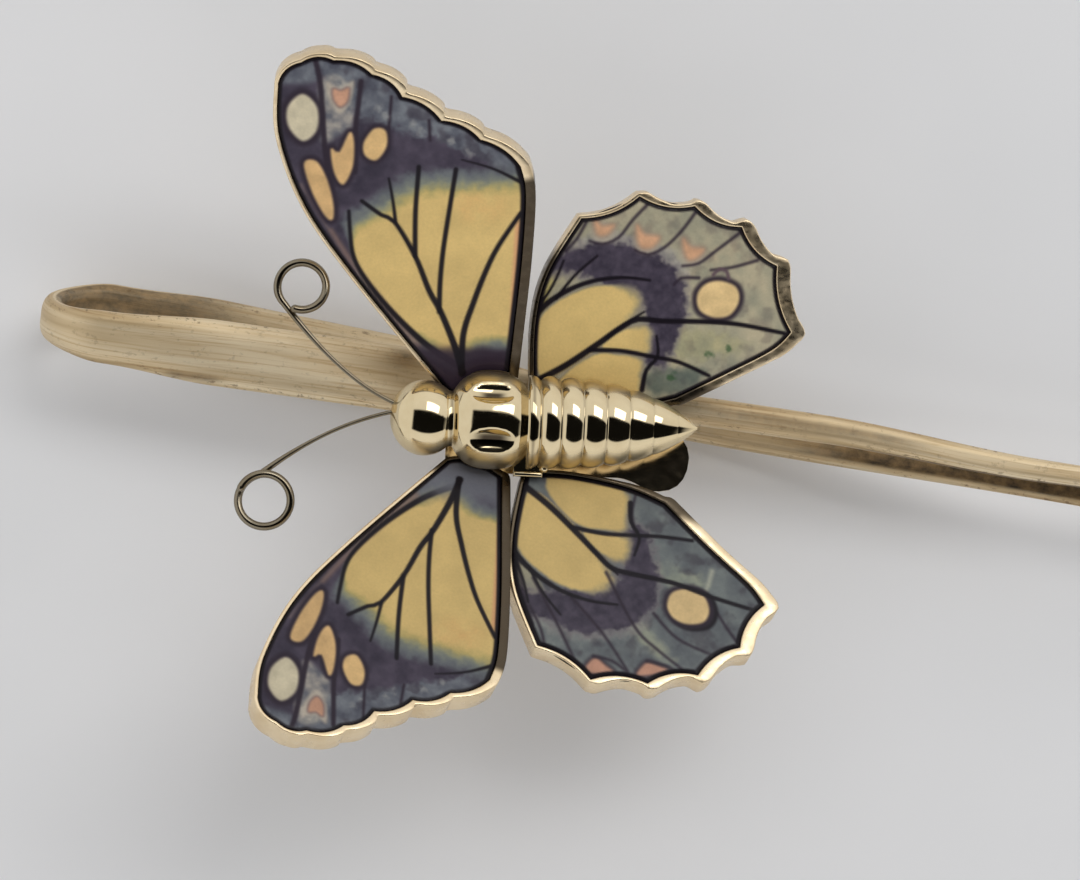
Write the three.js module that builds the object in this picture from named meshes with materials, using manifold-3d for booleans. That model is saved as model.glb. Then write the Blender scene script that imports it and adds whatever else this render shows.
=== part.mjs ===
// Decorative hair pin: a two-pronged brass spring pin that carries an enamelled butterfly.
// Millimetres. +X runs along the pin from its bend to its tips, +Z is the butterfly's upper side.
import * as THREE from "three";
import { mergeVertices } from "three/addons/utils/BufferGeometryUtils.js";
import Module from "manifold-3d";

const wasm = await Module();
wasm.setup();

// Driving dimensions, in millimetres and degrees.
const PIN = {
  bendX: -28.2, // where the bend meets the straight prongs
  tipX: 56,
  bendDrop: 7.5, // height between the prongs at the bend
  bendShift: 3.0, // sideways step between the prongs at the bend
  skew: 0.0585, // how fast the lower prong crosses under the upper one
  twistLength: 13, // the bend's lean fades out over this length of each prong
  splitGap: 0.16, // clearance where the strip is divided into its two moving halves
  bandWidth: 4.7,
  apexWidth: 3.0,
  bendWidth: 3.8,
  neckWidth: 2.1,
  tipWidth: 1.35,
  bandThickness: 1.5,
  tipThickness: 1.2,
};
const BODY = { y: 0.62, z: 2.6, height: 0.75, underside: 0.6, trim: 0.08 };
const TRAY = { wall: 0.26, lip: 0.06, depth: 1.8, floor: 0.5, fit: 0.04 };
const TAIL_WALL = { forewing: 0.4, hindwing: 0.75 }; // how much thicker the wall facing the tail is
const BRIDGE = { low: -0.7, high: -0.3, ribHigh: 0.5, armGap: 0.05, armThickness: 0.7 };
const TAB = { x: 1.55, z: 2.1, near: -1.5, far: -3.15, length: 2.0, lip: 0.34, beadRadius: 0.3 };
const WIRE = { radius: 0.28, coilPitch: 0.62, startY: 1.15 };
const BUTTERFLY = { y: -3.1, z: 2.35, turn: 5.8 };
const REST_X = -2; // middle of the flat land under the lower prong

// Each wing: the side of the body it is on, its angles, the height of its root, and its width
// from front to back beside that of the drawn outline.
const WINGS = {
  forewing_upper: { side: 1, dihedral: 29.6, sweep: 2.0, twist: -3.4, rise: 0.04, chord: 1.02 },
  forewing_lower: { side: -1, dihedral: 26.6, sweep: 4.8, twist: 9, rise: 0.0, chord: 0.96 },
  hindwing_upper: { side: 1, dihedral: 14.4, sweep: -1.9, twist: 2.1, rise: 0.9, chord: 0.99 },
  hindwing_lower: { side: -1, dihedral: 17.3, sweep: 6.6, twist: 2.5, rise: 0.9, chord: 0.99 },
};

const smooth = (t) => THREE.MathUtils.smoothstep(t, 0, 1);
const mix = THREE.MathUtils.lerp;
const vec = (x, y, z) => new THREE.Vector3(x, y, z);
const flat = (x, y) => new THREE.Vector2(x, y);
const rad = THREE.MathUtils.degToRad;

// ---- solids and meshes ----

function solidOf(geometry, matrix) {
  const bare = geometry.clone();
  bare.deleteAttribute("normal");
  bare.deleteAttribute("uv");
  const merged = mergeVertices(bare, 1e-4);
  const made = new wasm.Manifold(
    new wasm.Mesh({
      numProp: 3,
      vertProperties: merged.attributes.position.array,
      triVerts: new Uint32Array(merged.index.array),
    }),
  );
  return matrix ? made.transform(matrix.elements) : made;
}

function geometryOf(solid) {
  const mesh = solid.getMesh();
  const geometry = new THREE.BufferGeometry();
  geometry.setAttribute("position", new THREE.BufferAttribute(mesh.vertProperties, 3));
  geometry.setIndex(new THREE.BufferAttribute(mesh.triVerts, 1));
  geometry.computeVertexNormals();
  return geometry;
}

// A closed skin over a row of rings that all have the same number of points.
function loft(rings) {
  const count = rings[0].length;
  const positions = rings.flat().flatMap((p) => p.toArray());
  const faces = [];
  for (let i = 0; i + 1 < rings.length; i += 1) {
    for (let j = 0; j < count; j += 1) {
      const a = i * count + j;
      const b = i * count + ((j + 1) % count);
      faces.push(a, b, a + count, b, b + count, a + count);
    }
  }
  const last = (rings.length - 1) * count;
  for (let j = 1; j + 1 < count; j += 1) {
    faces.push(0, j + 1, j);
    faces.push(last, last + j, last + j + 1);
  }
  const geometry = new THREE.BufferGeometry();
  geometry.setAttribute("position", new THREE.Float32BufferAttribute(positions, 3));
  geometry.setIndex(faces);
  return geometry;
}

// A closed outline moved outwards (or inwards, for a negative distance) by its own normals.
// The side that faces +X may be moved by an extra amount.
function offset(points, distance, extra = 0) {
  return points.map((p, i) => {
    const before = p.clone().sub(points.at(i - 1)).normalize();
    const after = points[(i + 1) % points.length].clone().sub(p).normalize();
    const normal = flat(before.y + after.y, -before.x - after.x).normalize();
    const reach = Math.max(0.5, normal.x * before.y - normal.y * before.x);
    const moved = distance + extra * Math.max(0, normal.x);
    return p.clone().addScaledVector(normal, moved / reach);
  });
}

function slab(points, low, high) {
  const shape = new THREE.Shape(points);
  const geometry = new THREE.ExtrudeGeometry(shape, { depth: high - low, bevelEnabled: false });
  return geometry.translate(0, 0, low);
}

// ---- the spring strip ----

// The strip's section: a softened bar with a narrow flat along the crown of each face.
function stripRing(centre, along, outward, width, thickness) {
  const across = new THREE.Vector3().crossVectors(outward, along).normalize();
  const up = new THREE.Vector3().crossVectors(along, across).normalize();
  const ring = [];
  for (let k = 0; k < 12; k += 1) {
    const angle = rad(15 + 30 * k);
    const sideways = Math.sign(Math.cos(angle)) * Math.abs(Math.cos(angle)) ** 0.75;
    const high = Math.sign(Math.sin(angle)) * Math.abs(Math.sin(angle) / Math.sin(rad(75))) ** 0.8;
    ring.push(
      centre
        .clone()
        .addScaledVector(across, (sideways * width) / 2)
        .addScaledVector(up, (high * thickness) / 2),
    );
  }
  return ring;
}

function stripWidth(x) {
  const band = mix(PIN.bendWidth, PIN.bandWidth, smooth((x - PIN.bendX) / 8));
  const neck = mix(band, PIN.neckWidth, smooth((x + 9) / 23));
  return mix(neck, PIN.tipWidth, smooth((x - 14) / (PIN.tipX - 14)));
}

function stripThickness(x) {
  return mix(PIN.bandThickness, PIN.tipThickness, smooth((x - 12) / 30));
}

// Centre line of each prong beyond the bend, as a function of the distance along the pin.
const PRONGS = {
  upper: (x) =>
    vec(
      x,
      0.7 * (smooth((x - 1) / 13) - smooth((x - 22) / 16)),
      -0.9 * smooth((x - 10) / 36) + 0.6 * smooth((x - 46) / 12),
    ),
  lower: (x) =>
    vec(
      x,
      PIN.bendShift - PIN.skew * (x - PIN.bendX),
      -PIN.bendDrop -
        0.5 * smooth((x - PIN.bendX) / PIN.twistLength) +
        5.4 * smooth((x - 9) / 37) -
        1.1 * smooth((x - 46) / 12),
    ),
};

const lean = Math.atan2(PIN.bendShift, PIN.bendDrop);
const bendRadius = Math.hypot(PIN.bendShift, PIN.bendDrop) / 2;
const bendCentre = vec(PIN.bendX, PIN.bendShift / 2, -PIN.bendDrop / 2);
const bendUp = vec(0, -Math.sin(lean), Math.cos(lean));

// One half of the strip: a quarter turn of the bend, the long prong and its rounded tip.
function prong(which) {
  const turn = which === "upper" ? 1 : -1;
  const rings = [];
  const bendSteps = 9;
  for (let i = 0; i < bendSteps; i += 1) {
    const split = PIN.splitGap / 2 / bendRadius;
    const angle = mix(Math.PI / 2 - split, 0, i / bendSteps);
    const outward = bendUp.clone().multiplyScalar(turn * Math.cos(angle));
    outward.x = -Math.sin(angle);
    const along = bendUp.clone().multiplyScalar(turn * Math.sin(angle));
    along.x = Math.cos(angle);
    const centre = bendCentre.clone().addScaledVector(outward, bendRadius);
    const width = mix(PIN.bendWidth, PIN.apexWidth, smooth(Math.sin(angle)));
    rings.push(stripRing(centre, along, outward, width, PIN.bandThickness));
  }
  const straightSteps = 30;
  const lengthBeforeTip = PIN.tipX - 0.8 - PIN.bendX;
  const places = [];
  for (let i = 0; i <= straightSteps; i += 1) {
    places.push([PIN.bendX + (lengthBeforeTip * i) / straightSteps, 1]);
  }
  for (const t of [0.45, 0.8, 0.97]) {
    places.push([PIN.tipX - 0.8 + 0.8 * t, Math.sqrt(1 - t * t)]);
  }
  for (const [x, roundness] of places) {
    const centre = PRONGS[which](x);
    const along = PRONGS[which](x + 0.05).sub(PRONGS[which](x - 0.05));
    const roll = lean * (1 - smooth((x - PIN.bendX) / PIN.twistLength));
    const outward = vec(0, -Math.sin(roll), Math.cos(roll)).multiplyScalar(turn);
    const width = stripWidth(x) * roundness;
    rings.push(stripRing(centre, along, outward, width, stripThickness(x) * roundness));
  }
  return solidOf(loft(rings));
}

// ---- the butterfly's body ----

const BODY_SPAN = { head: -8.0, tail: 13.1 };

function bodyRadius(x) {
  const bulge = (centre, reach, high, power) => {
    const t = Math.min(1, Math.abs((x - centre) / reach));
    return high * (1 - t ** power) ** (1 / power);
  };
  const head = bulge(-5.65, 2.35, 2.6, 2);
  const thorax = bulge(-1.1, 2.9, 3.35, 2.5);
  const along = THREE.MathUtils.clamp((x - 1.4) / 11.7, 0, 1);
  const ring = Math.abs(Math.cos(Math.PI * 7.5 * along ** 0.9 - 0.6));
  const ridges = 1 + (0.13 * ring - 0.08) * (1 - along ** 1.5);
  const abdomen = x > 1.4 ? 3.05 * (1 - along ** 3) ** 0.85 * ridges : 0;
  const creases = x > -4.5 && x < 2.2 ? 1.9 : 0;
  return Math.max(head, thorax, abdomen, creases);
}

function body(grow) {
  const steps = 84;
  const profile = [flat(0, BODY_SPAN.head - grow)];
  for (let i = 1; i < steps; i += 1) {
    const x = mix(BODY_SPAN.head, BODY_SPAN.tail, i / steps);
    profile.push(flat(bodyRadius(x) + grow, x));
  }
  profile.push(flat(0, BODY_SPAN.tail + grow));
  const round = new THREE.LatheGeometry(profile, 36).rotateZ(-Math.PI / 2);
  round.scale(1, 1, BODY.height).translate(0, BODY.y, BODY.z);
  const below = new THREE.BoxGeometry(40, 40, 10);
  below.translate(0, 0, BODY.underside - grow - 5);
  return solidOf(round).subtract(solidOf(below));
}

// The body has two eye-shaped hollows on the back of its thorax, and a small lipped tab that
// stands out from its side, with a bead of solder in the corner.
function bodyWithDetails() {
  let made = body(0);
  for (const side of [1, -1]) {
    const hollow = new THREE.SphereGeometry(1, 20, 12).scale(1.9, 0.85, 0.55);
    hollow.rotateX(-side * rad(26)).translate(-1.1, BODY.y + side * 1.7, BODY.z + 2.3);
    made = made.subtract(solidOf(hollow));
  }
  const floor = new THREE.BoxGeometry(TAB.length, TAB.near - TAB.far, 0.2);
  floor.translate(TAB.x, (TAB.near + TAB.far) / 2, TAB.z + 0.1);
  const lip = new THREE.BoxGeometry(TAB.length, TAB.lip, 0.42);
  lip.translate(TAB.x, TAB.far + TAB.lip / 2, TAB.z + 0.21);
  const bead = new THREE.SphereGeometry(TAB.beadRadius, 14, 10);
  bead.translate(TAB.x + TAB.length / 2 + 0.1, TAB.far + 0.6, TAB.z + 0.3);
  return made.add(solidOf(floor)).add(solidOf(lip)).add(solidOf(bead));
}

// ---- the wings ----

// Outlines of the enamel in the plane of a wing: x towards the tail, y away from the body.
// The edge between two points of a scalloped row is an arc that bulges by the given amount.
function scallops(shape, points, bulge) {
  for (let i = 0; i + 1 < points.length; i += 1) {
    const from = flat(...points[i]);
    const to = flat(...points[i + 1]);
    const chord = to.clone().sub(from);
    const middle = from.clone().add(to).multiplyScalar(0.5);
    const side = flat(chord.y, -chord.x).normalize();
    const control = middle.addScaledVector(side, 2 * bulge);
    shape.quadraticCurveTo(control.x, control.y, to.x, to.y);
  }
}

function outline(start, firstEdge, teeth, bulge, lastEdge, root) {
  const shape = new THREE.Shape();
  shape.moveTo(...start);
  shape.splineThru(firstEdge.map((p) => flat(...p)));
  scallops(shape, teeth, bulge);
  shape.splineThru(lastEdge.map((p) => flat(...p)));
  shape.splineThru(root.map((p) => flat(...p)));
  const points = shape.getPoints(5);
  points.pop(); // the last point repeats the first
  return points;
}

// The scalloped edge of a forewing, which reaches a little farther from the body on the upper one.
function forewing(reach) {
  const teeth = [[0.5, 19.5], [-2.2, 21.1], [-4.8, 22.2], [-7.4, 23.6], [-9.4, 25.1], [-11.9, 26.0],
    [-14, 25.8], [-15.5, 24.3]];
  return outline(
    [0.1, 3.5],
    [[0.45, 8], [0.8, 13], [0.9, 17.5], [0.5, 19.5]],
    teeth.map(([x, y]) => [x, y + reach * Math.min(1, (y - 19.5) / 4)]),
    0.32,
    [[-15.4, 21.2], [-13.7, 16.4], [-10.4, 11.4], [-3.9, 3.1]],
    [[-3.1, 2.8], [-1.5, 2.8], [0.1, 3.5]],
  );
}

// The edge of a hindwing that faces the tail lies nearer to the body on the upper one.
function hindwing(tailShift) {
  const tip = [19.4, 8.9 + tailShift];
  return outline(
    [11.7, 3.2],
    [[15.2, 5.6 + tailShift * 0.7], [18.2, 7.6 + tailShift], tip],
    [tip, [18, 12.8], [15.3, 15.3], [11.9, 16.5], [8, 16.9], [4.1, 15.1]],
    -0.4,
    [[2.1, 11.2], [1.5, 7.6], [1.8, 2.7]],
    [[5, 2.3], [9, 2.5], [11.7, 3.2]],
  );
}

const OUTLINES = {
  forewing_upper: forewing(0.6),
  forewing_lower: forewing(0),
  hindwing_upper: hindwing(-0.6),
  hindwing_lower: hindwing(0.5),
};

function wingMatrix({ side, dihedral, sweep, twist, rise, chord }) {
  const turns = new THREE.Matrix4().makeRotationZ(rad(sweep));
  turns.multiply(new THREE.Matrix4().makeRotationX(rad(dihedral)));
  turns.multiply(new THREE.Matrix4().makeRotationY(rad(twist)));
  turns.multiply(new THREE.Matrix4().makeScale(chord, 1, 1));
  const place = new THREE.Matrix4().makeScale(1, side, 1).setPosition(0, 0, rise);
  return place.multiply(turns);
}

// A shallow cup with a scalloped wall, open on its upper side.
function tray(name) {
  const points = OUTLINES[name];
  const outer = offset(points, TRAY.wall, TAIL_WALL[name.split("_")[0]]);
  const cup = solidOf(slab(outer, -TRAY.depth, TRAY.lip));
  const hollow = solidOf(slab(points, TRAY.floor - TRAY.depth, TRAY.lip + 1));
  return cup.subtract(hollow).transform(wingMatrix(WINGS[name]).elements).subtract(bodyRoom);
}

// The printed enamel plate that lies in the cup.
function plaque(name) {
  const points = offset(OUTLINES[name], -TRAY.fit);
  const plate = slab(points, TRAY.floor - TRAY.depth + TRAY.fit, 0);
  return solidOf(plate, wingMatrix(WINGS[name])).subtract(bodyRoom);
}

// ---- the bridge under the body, and its saddle on the pin ----

function bridge() {
  const shape = new THREE.Shape();
  shape.moveTo(-4, -1.8);
  shape.quadraticCurveTo(-4, -2.7, -3, -2.7);
  shape.lineTo(8, -2.7);
  shape.quadraticCurveTo(9, -2.8, 10, -3.5);
  shape.quadraticCurveTo(12.8, -3.9, 12.9, -1.1);
  shape.quadraticCurveTo(12.8, 1, 9, 1.8);
  shape.lineTo(0, 2.2);
  shape.lineTo(-3, 2.7);
  shape.quadraticCurveTo(-4, 2.7, -4, 1.8);
  let made = solidOf(slab(shape.getPoints(6), BRIDGE.low, BRIDGE.high));
  // the rib that carries the body
  const rib = new THREE.BoxGeometry(12.6, 1.8, BRIDGE.ribHigh - BRIDGE.low);
  made = made.add(solidOf(rib.translate(2.8, BODY.y, (BRIDGE.ribHigh + BRIDGE.low) / 2)));
  const top = -TRAY.depth - BRIDGE.armGap;
  for (const [name, place] of Object.entries(WINGS)) {
    const fore = name.startsWith("fore");
    const from = fore ? 1.7 : 0.8;
    const arm = new THREE.BoxGeometry(3, 7 - from, BRIDGE.armThickness);
    arm.translate(fore ? -2.2 : 5.2, (7 + from) / 2, top - BRIDGE.armThickness / 2);
    made = made.add(solidOf(arm, wingMatrix(place)));
  }
  return made.subtract(bodyRoom);
}

function saddle() {
  const low = PIN.bandThickness / 2 - BUTTERFLY.z + 0.03;
  const high = BRIDGE.low - 0.03;
  const block = new THREE.BoxGeometry(3.6, 1.9, high - low);
  return solidOf(block.rotateZ(rad(-BUTTERFLY.turn)).translate(1.5, 2.0, (low + high) / 2));
}

// ---- the antennae ----

// A wire that leaves the head, then winds once round its own eyelet.
class Feeler extends THREE.Curve {
  constructor(reach, eye, eyeRadius, fromAngle, turnBy) {
    super();
    const start = vec(-6.6, WIRE.startY, BODY.z + 0.2);
    const touch = this.eyePoint(eye, eyeRadius, fromAngle, 0);
    this.stalk = new THREE.QuadraticBezierCurve3(start, vec(...reach), touch);
    this.eyelet = { eye, eyeRadius, fromAngle, turnBy };
    const arc = eyeRadius * Math.abs(rad(turnBy));
    this.share = this.stalk.getLength() / (this.stalk.getLength() + arc);
  }
  eyePoint(eye, radius, degrees, climb) {
    const [x, y, z] = eye;
    return vec(x + radius * Math.cos(rad(degrees)), y + radius * Math.sin(rad(degrees)), z + climb);
  }
  getPoint(t) {
    if (t <= this.share) return this.stalk.getPoint(t / this.share);
    const part = (t - this.share) / (1 - this.share);
    const { eye, eyeRadius, fromAngle, turnBy } = this.eyelet;
    const climb = WIRE.coilPitch * part * Math.abs(turnBy / 360) * smooth(part * 3);
    return this.eyePoint(eye, eyeRadius, fromAngle + turnBy * part, climb);
  }
}

function antenna(curve) {
  const section = new THREE.Shape();
  section.absarc(0, 0, WIRE.radius, 0, 2 * Math.PI);
  const options = { steps: 76, extrudePath: curve, curveSegments: 4, bevelEnabled: false };
  return solidOf(new THREE.ExtrudeGeometry(section, options)).subtract(bodyRoom);
}

const FEELERS = {
  antenna_upper: new Feeler([-10.8, 2.2, 2.9], [-14.35, 9.2, 3.1], 1.65, 226, -340),
  antenna_lower: new Feeler([-11.8, 0.3, 2.9], [-16.35, -5.55, 3.1], 1.78, 104, 420),
};

// ---- assembly ----

const bodyRoom = body(BODY.trim);
const root = new THREE.Group();
root.name = "decorative_hair_pin";
const land = PRONGS.lower(REST_X);
root.position.set(-land.x, -land.y, -land.z + PIN.bandThickness / 2);

const butterfly = new THREE.Group();
butterfly.position.set(0, BUTTERFLY.y, BUTTERFLY.z);
butterfly.rotation.z = rad(BUTTERFLY.turn);
root.add(butterfly);

function addPiece(group, name, solid, colour, metalness, roughness) {
  const material = new THREE.MeshStandardMaterial({ color: colour, metalness, roughness });
  const mesh = new THREE.Mesh(geometryOf(solid), material);
  mesh.name = name;
  group.add(mesh);
}

const gold = [0xd9b877, 1, 0.25];
addPiece(root, "upper_prong", prong("upper"), ...gold);
addPiece(root, "lower_prong", prong("lower"), ...gold);
addPiece(butterfly, "mount_saddle", saddle(), ...gold);
addPiece(butterfly, "wing_bridge", bridge(), ...gold);
addPiece(butterfly, "butterfly_body", bodyWithDetails(), ...gold);
for (const name of Object.keys(WINGS)) {
  addPiece(butterfly, name + "_tray", tray(name), ...gold);
  addPiece(butterfly, name + "_enamel", plaque(name), 0xc8af5f, 0, 0.35);
}
for (const [name, curve] of Object.entries(FEELERS)) {
  addPiece(butterfly, name, antenna(curve), ...gold);
}

export default root;
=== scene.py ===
"""Looks of the decorative hair pin: a worn gold-tone spring pin that carries an enamelled butterfly."""
import math

import bpy
import numpy as np
from mathutils import Euler, Matrix, Vector
from mathutils.geometry import delaunay_2d_cdt


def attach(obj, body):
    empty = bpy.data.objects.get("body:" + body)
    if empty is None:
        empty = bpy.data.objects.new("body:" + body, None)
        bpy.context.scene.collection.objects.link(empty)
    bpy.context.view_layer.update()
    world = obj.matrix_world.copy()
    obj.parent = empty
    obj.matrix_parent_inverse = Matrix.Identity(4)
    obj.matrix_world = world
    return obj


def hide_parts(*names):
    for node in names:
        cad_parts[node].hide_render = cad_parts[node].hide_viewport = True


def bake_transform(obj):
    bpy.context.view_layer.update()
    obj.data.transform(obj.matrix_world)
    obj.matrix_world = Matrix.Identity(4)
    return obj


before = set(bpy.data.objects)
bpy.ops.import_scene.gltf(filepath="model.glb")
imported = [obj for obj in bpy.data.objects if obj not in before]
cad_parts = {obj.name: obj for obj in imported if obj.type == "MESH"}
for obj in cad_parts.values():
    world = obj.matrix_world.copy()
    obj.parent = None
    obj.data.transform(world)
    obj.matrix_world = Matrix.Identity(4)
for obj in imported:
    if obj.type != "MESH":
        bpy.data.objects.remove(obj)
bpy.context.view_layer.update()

MM = 0.001

# ---- driving dimensions, in millimetres and degrees, as in the CAD part ----

PIN = {
    "bend_x": -28.2,
    "tip_x": 56.0,
    "bend_drop": 7.5,
    "bend_shift": 3.0,
    "skew": 0.0585,
    "twist_length": 13.0,
    "band_width": 4.7,
    "apex_width": 3.0,
    "bend_width": 3.8,
    "neck_width": 2.1,
    "tip_width": 1.35,
    "band_thickness": 1.5,
    "tip_thickness": 1.2,
}
BODY = {"y": 0.62, "z": 2.6, "height": 0.75, "underside": 0.6, "head": -8.0, "tail": 13.1}
TRAY = {"wall": 0.26, "lip": 0.06, "depth": 1.8, "floor": 0.5, "fit": 0.04}
TAIL_WALL = {"forewing": 0.4, "hindwing": 0.75}
TAB = {"x": 1.55, "z": 2.1, "near": -1.5, "far": -3.15, "length": 2.0, "lip": 0.34, "bead": 0.3}
WIRE = {"stalk": 0.14, "coil": 0.28, "pitch": 0.62, "start_x": -6.6, "start_y": 1.15}
REST_X = -2.0
WINGS = {
    "forewing_upper": {"side": 1, "angles": (2.0, 29.6, -3.4), "rise": 0.04, "chord": 1.02},
    "forewing_lower": {"side": -1, "angles": (4.8, 26.6, 9.0), "rise": 0.0, "chord": 0.96},
    "hindwing_upper": {"side": 1, "angles": (-1.9, 14.4, 2.1), "rise": 0.9, "chord": 0.99},
    "hindwing_lower": {"side": -1, "angles": (6.6, 17.3, 2.5), "rise": 0.9, "chord": 0.99},
}

# The pin's own frame starts above the land it rests on; the butterfly's frame is turned on it.
PIN_ORIGIN = np.array([
    -REST_X,
    -PIN["bend_shift"] + PIN["skew"] * (REST_X - PIN["bend_x"]),
    PIN["bend_drop"] + 0.5 + PIN["band_thickness"] / 2,
])
BUTTERFLY_ORIGIN = PIN_ORIGIN + np.array([0.0, -3.1, 2.35])
BUTTERFLY_TURN = math.radians(5.8)


def smooth(t):
    """Rises from 0 to 1 with level ends."""
    t = np.clip(t, 0.0, 1.0)
    return t * t * (3.0 - 2.0 * t)


def mix(a, b, t):
    return a + (b - a) * t


def unit(v):
    v = np.asarray(v, float)
    return v / np.maximum(np.linalg.norm(v, axis=-1, keepdims=True), 1e-12)


def from_butterfly(points):
    """Points of the butterfly's frame, moved into the row frame."""
    c, s = math.cos(BUTTERFLY_TURN), math.sin(BUTTERFLY_TURN)
    turn = np.array([[c, -s, 0], [s, c, 0], [0, 0, 1]])
    return np.asarray(points, float) @ turn.T + BUTTERFLY_ORIGIN


def from_pin(points):
    """Points of the pin's own frame, moved into the row frame."""
    return np.asarray(points, float) + PIN_ORIGIN


# ---- curves ----

def curve_piece(a, b, c, d, step):
    """A smooth curve from b almost to c, where a comes before them and d after them."""
    count = max(2, int(np.linalg.norm(c - b) / step))
    t = np.linspace(0, 1, count, endpoint=False)[:, None]
    enter, leave = (c - a) / 2, (d - b) / 2
    cubic = (2 * b - 2 * c + enter + leave) * t**3
    square = (3 * c - 3 * b - 2 * enter - leave) * t**2
    return cubic + square + enter * t + b


def curve_through(points, step=0.12):
    """A smooth curve through the given points, sampled about every step."""
    p = np.asarray(points, float)
    padded = np.vstack([p[:1], p, p[-1:]])
    fours = zip(padded[:-3], padded[1:-2], padded[2:-1], padded[3:])
    return np.vstack([*(curve_piece(*four, step) for four in fours), p[-1:]])


def closed_curve(points, step=0.15):
    """A smooth closed loop through the given points."""
    p = np.asarray(points, float)
    fours = zip(np.roll(p, 1, 0), p, np.roll(p, -1, 0), np.roll(p, -2, 0))
    return np.vstack([curve_piece(*four, step) for four in fours])


def scalloped(points, bulge, step=0.12):
    """A row of arcs between the given points, each bulging sideways by the given amount."""
    rows = []
    for a, b in zip(np.asarray(points[:-1], float), np.asarray(points[1:], float)):
        chord = b - a
        side = unit(np.array([chord[1], -chord[0]]))
        control = (a + b) / 2 + side * 2 * bulge
        t = np.linspace(0, 1, max(4, int(np.linalg.norm(chord) / step)), endpoint=False)[:, None]
        rows.append((1 - t) ** 2 * a + 2 * t * (1 - t) * control + t**2 * b)
    return np.vstack([*rows, [points[-1]]])


def wing_outline(start, first_edge, teeth, bulge, last_edge, root):
    """A closed loop: one long edge, the scalloped outer edge, the other long edge, and the root."""
    parts = [
        curve_through([start, *first_edge]),
        scalloped(teeth, bulge),
        curve_through([teeth[-1], *last_edge]),
        curve_through([last_edge[-1], *root]),
    ]
    return np.vstack([part[:-1] for part in parts])


# Outlines of the enamel lie in the plane of a wing: u towards the tail, v away from the body.

def forewing(reach):
    """The scalloped edge of a forewing reaches a little farther from the body on the upper one."""
    teeth = [
        (0.5, 19.5), (-2.2, 21.1), (-4.8, 22.2), (-7.4, 23.6), (-9.4, 25.1), (-11.9, 26.0), (-14, 25.8),
        (-15.5, 24.3),
    ]
    return wing_outline(
        (0.1, 3.5),
        [(0.45, 8), (0.8, 13), (0.9, 17.5), (0.5, 19.5)],
        [(u, v + reach * min(1, (v - 19.5) / 4)) for u, v in teeth],
        0.32,
        [(-15.4, 21.2), (-13.7, 16.4), (-10.4, 11.4), (-3.9, 3.1)],
        [(-3.1, 2.8), (-1.5, 2.8), (0.1, 3.5)],
    )


def hindwing(tail_shift):
    """The edge of a hindwing that faces the tail lies nearer to the body on the upper one."""
    tip = (19.4, 8.9 + tail_shift)
    return wing_outline(
        (11.7, 3.2),
        [(15.2, 5.6 + tail_shift * 0.7), (18.2, 7.6 + tail_shift), tip],
        [tip, (18, 12.8), (15.3, 15.3), (11.9, 16.5), (8, 16.9), (4.1, 15.1)],
        -0.4,
        [(2.1, 11.2), (1.5, 7.6), (1.8, 2.7)],
        [(5, 2.3), (9, 2.5), (11.7, 3.2)],
    )


OUTLINES = {
    "forewing_upper": forewing(0.6),
    "forewing_lower": forewing(0.0),
    "hindwing_upper": hindwing(-0.6),
    "hindwing_lower": hindwing(0.5),
}


def outward_normals(loop, spread=4):
    """Outward normals of a counter-clockwise loop, softened along it so that offsets never cross."""
    ahead = np.roll(loop, -1, 0) - loop
    behind = loop - np.roll(loop, 1, 0)
    along = unit(ahead) + unit(behind)
    normals = unit(np.column_stack([along[:, 1], -along[:, 0]]))
    total = np.zeros_like(normals)
    for k in range(-spread, spread + 1):
        total += np.roll(normals, k, 0) * (spread + 1 - abs(k))
    return unit(total)


# ---- the body's round shape, which the wings keep clear of ----

def bulge_radius(x, centre, reach, high, power):
    """Radius of a rounded bulge of the body at a place along it."""
    t = np.minimum(1, np.abs((x - centre) / reach))
    return high * (1 - t**power) ** (1 / power)


def soft_max(a, b, blend=0.1):
    """The larger value, rounded where the two cross."""
    return (a + b + np.sqrt((a - b) ** 2 + blend**2)) / 2


def abdomen_rings(x):
    """Height on the abdomen's ridges, 0 in a groove and 1 on a crown, and how far along it x is."""
    along = np.clip((x - 1.4) / 11.7, 0, 1)
    return np.abs(np.cos(math.pi * 7.5 * along**0.9 - 0.6)) ** 0.65, along


def body_radius(x):
    head = bulge_radius(x, -5.65, 2.35, 2.6, 2)
    thorax = bulge_radius(x, -1.1, 2.9, 3.35, 2.5)
    ring, along = abdomen_rings(x)
    ridges = 1 + (0.13 * ring - 0.08) * (1 - along**1.5)
    abdomen = np.where(x > 1.4, 3.05 * (1 - along**3) ** 0.85 * ridges, 0)
    neck = np.where((x > -4.5) & (x < 2.2), 1.9, 0)
    return soft_max(soft_max(head, thorax), np.maximum(abdomen, neck))


def wing_frame(wing):
    """Turns of a wing's plane in the butterfly's frame, and its width beside the drawn outline."""
    sweep, dihedral, twist = (math.radians(angle) for angle in wing["angles"])
    turns = (
        Matrix.Rotation(sweep, 3, "Z")
        @ Matrix.Rotation(dihedral, 3, "X")
        @ Matrix.Rotation(twist, 3, "Y")
    )
    return np.array(turns) * (wing["chord"], 1, 1)


def on_wing(loop, height, wing):
    """Points (u, v) at a height above the plane of a wing, in the butterfly's frame."""
    flat = np.column_stack([loop, np.broadcast_to(height, len(loop))])
    placed = flat @ wing_frame(wing).T
    placed[:, 1] *= wing["side"]
    placed[:, 2] += wing["rise"]
    return placed


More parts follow.
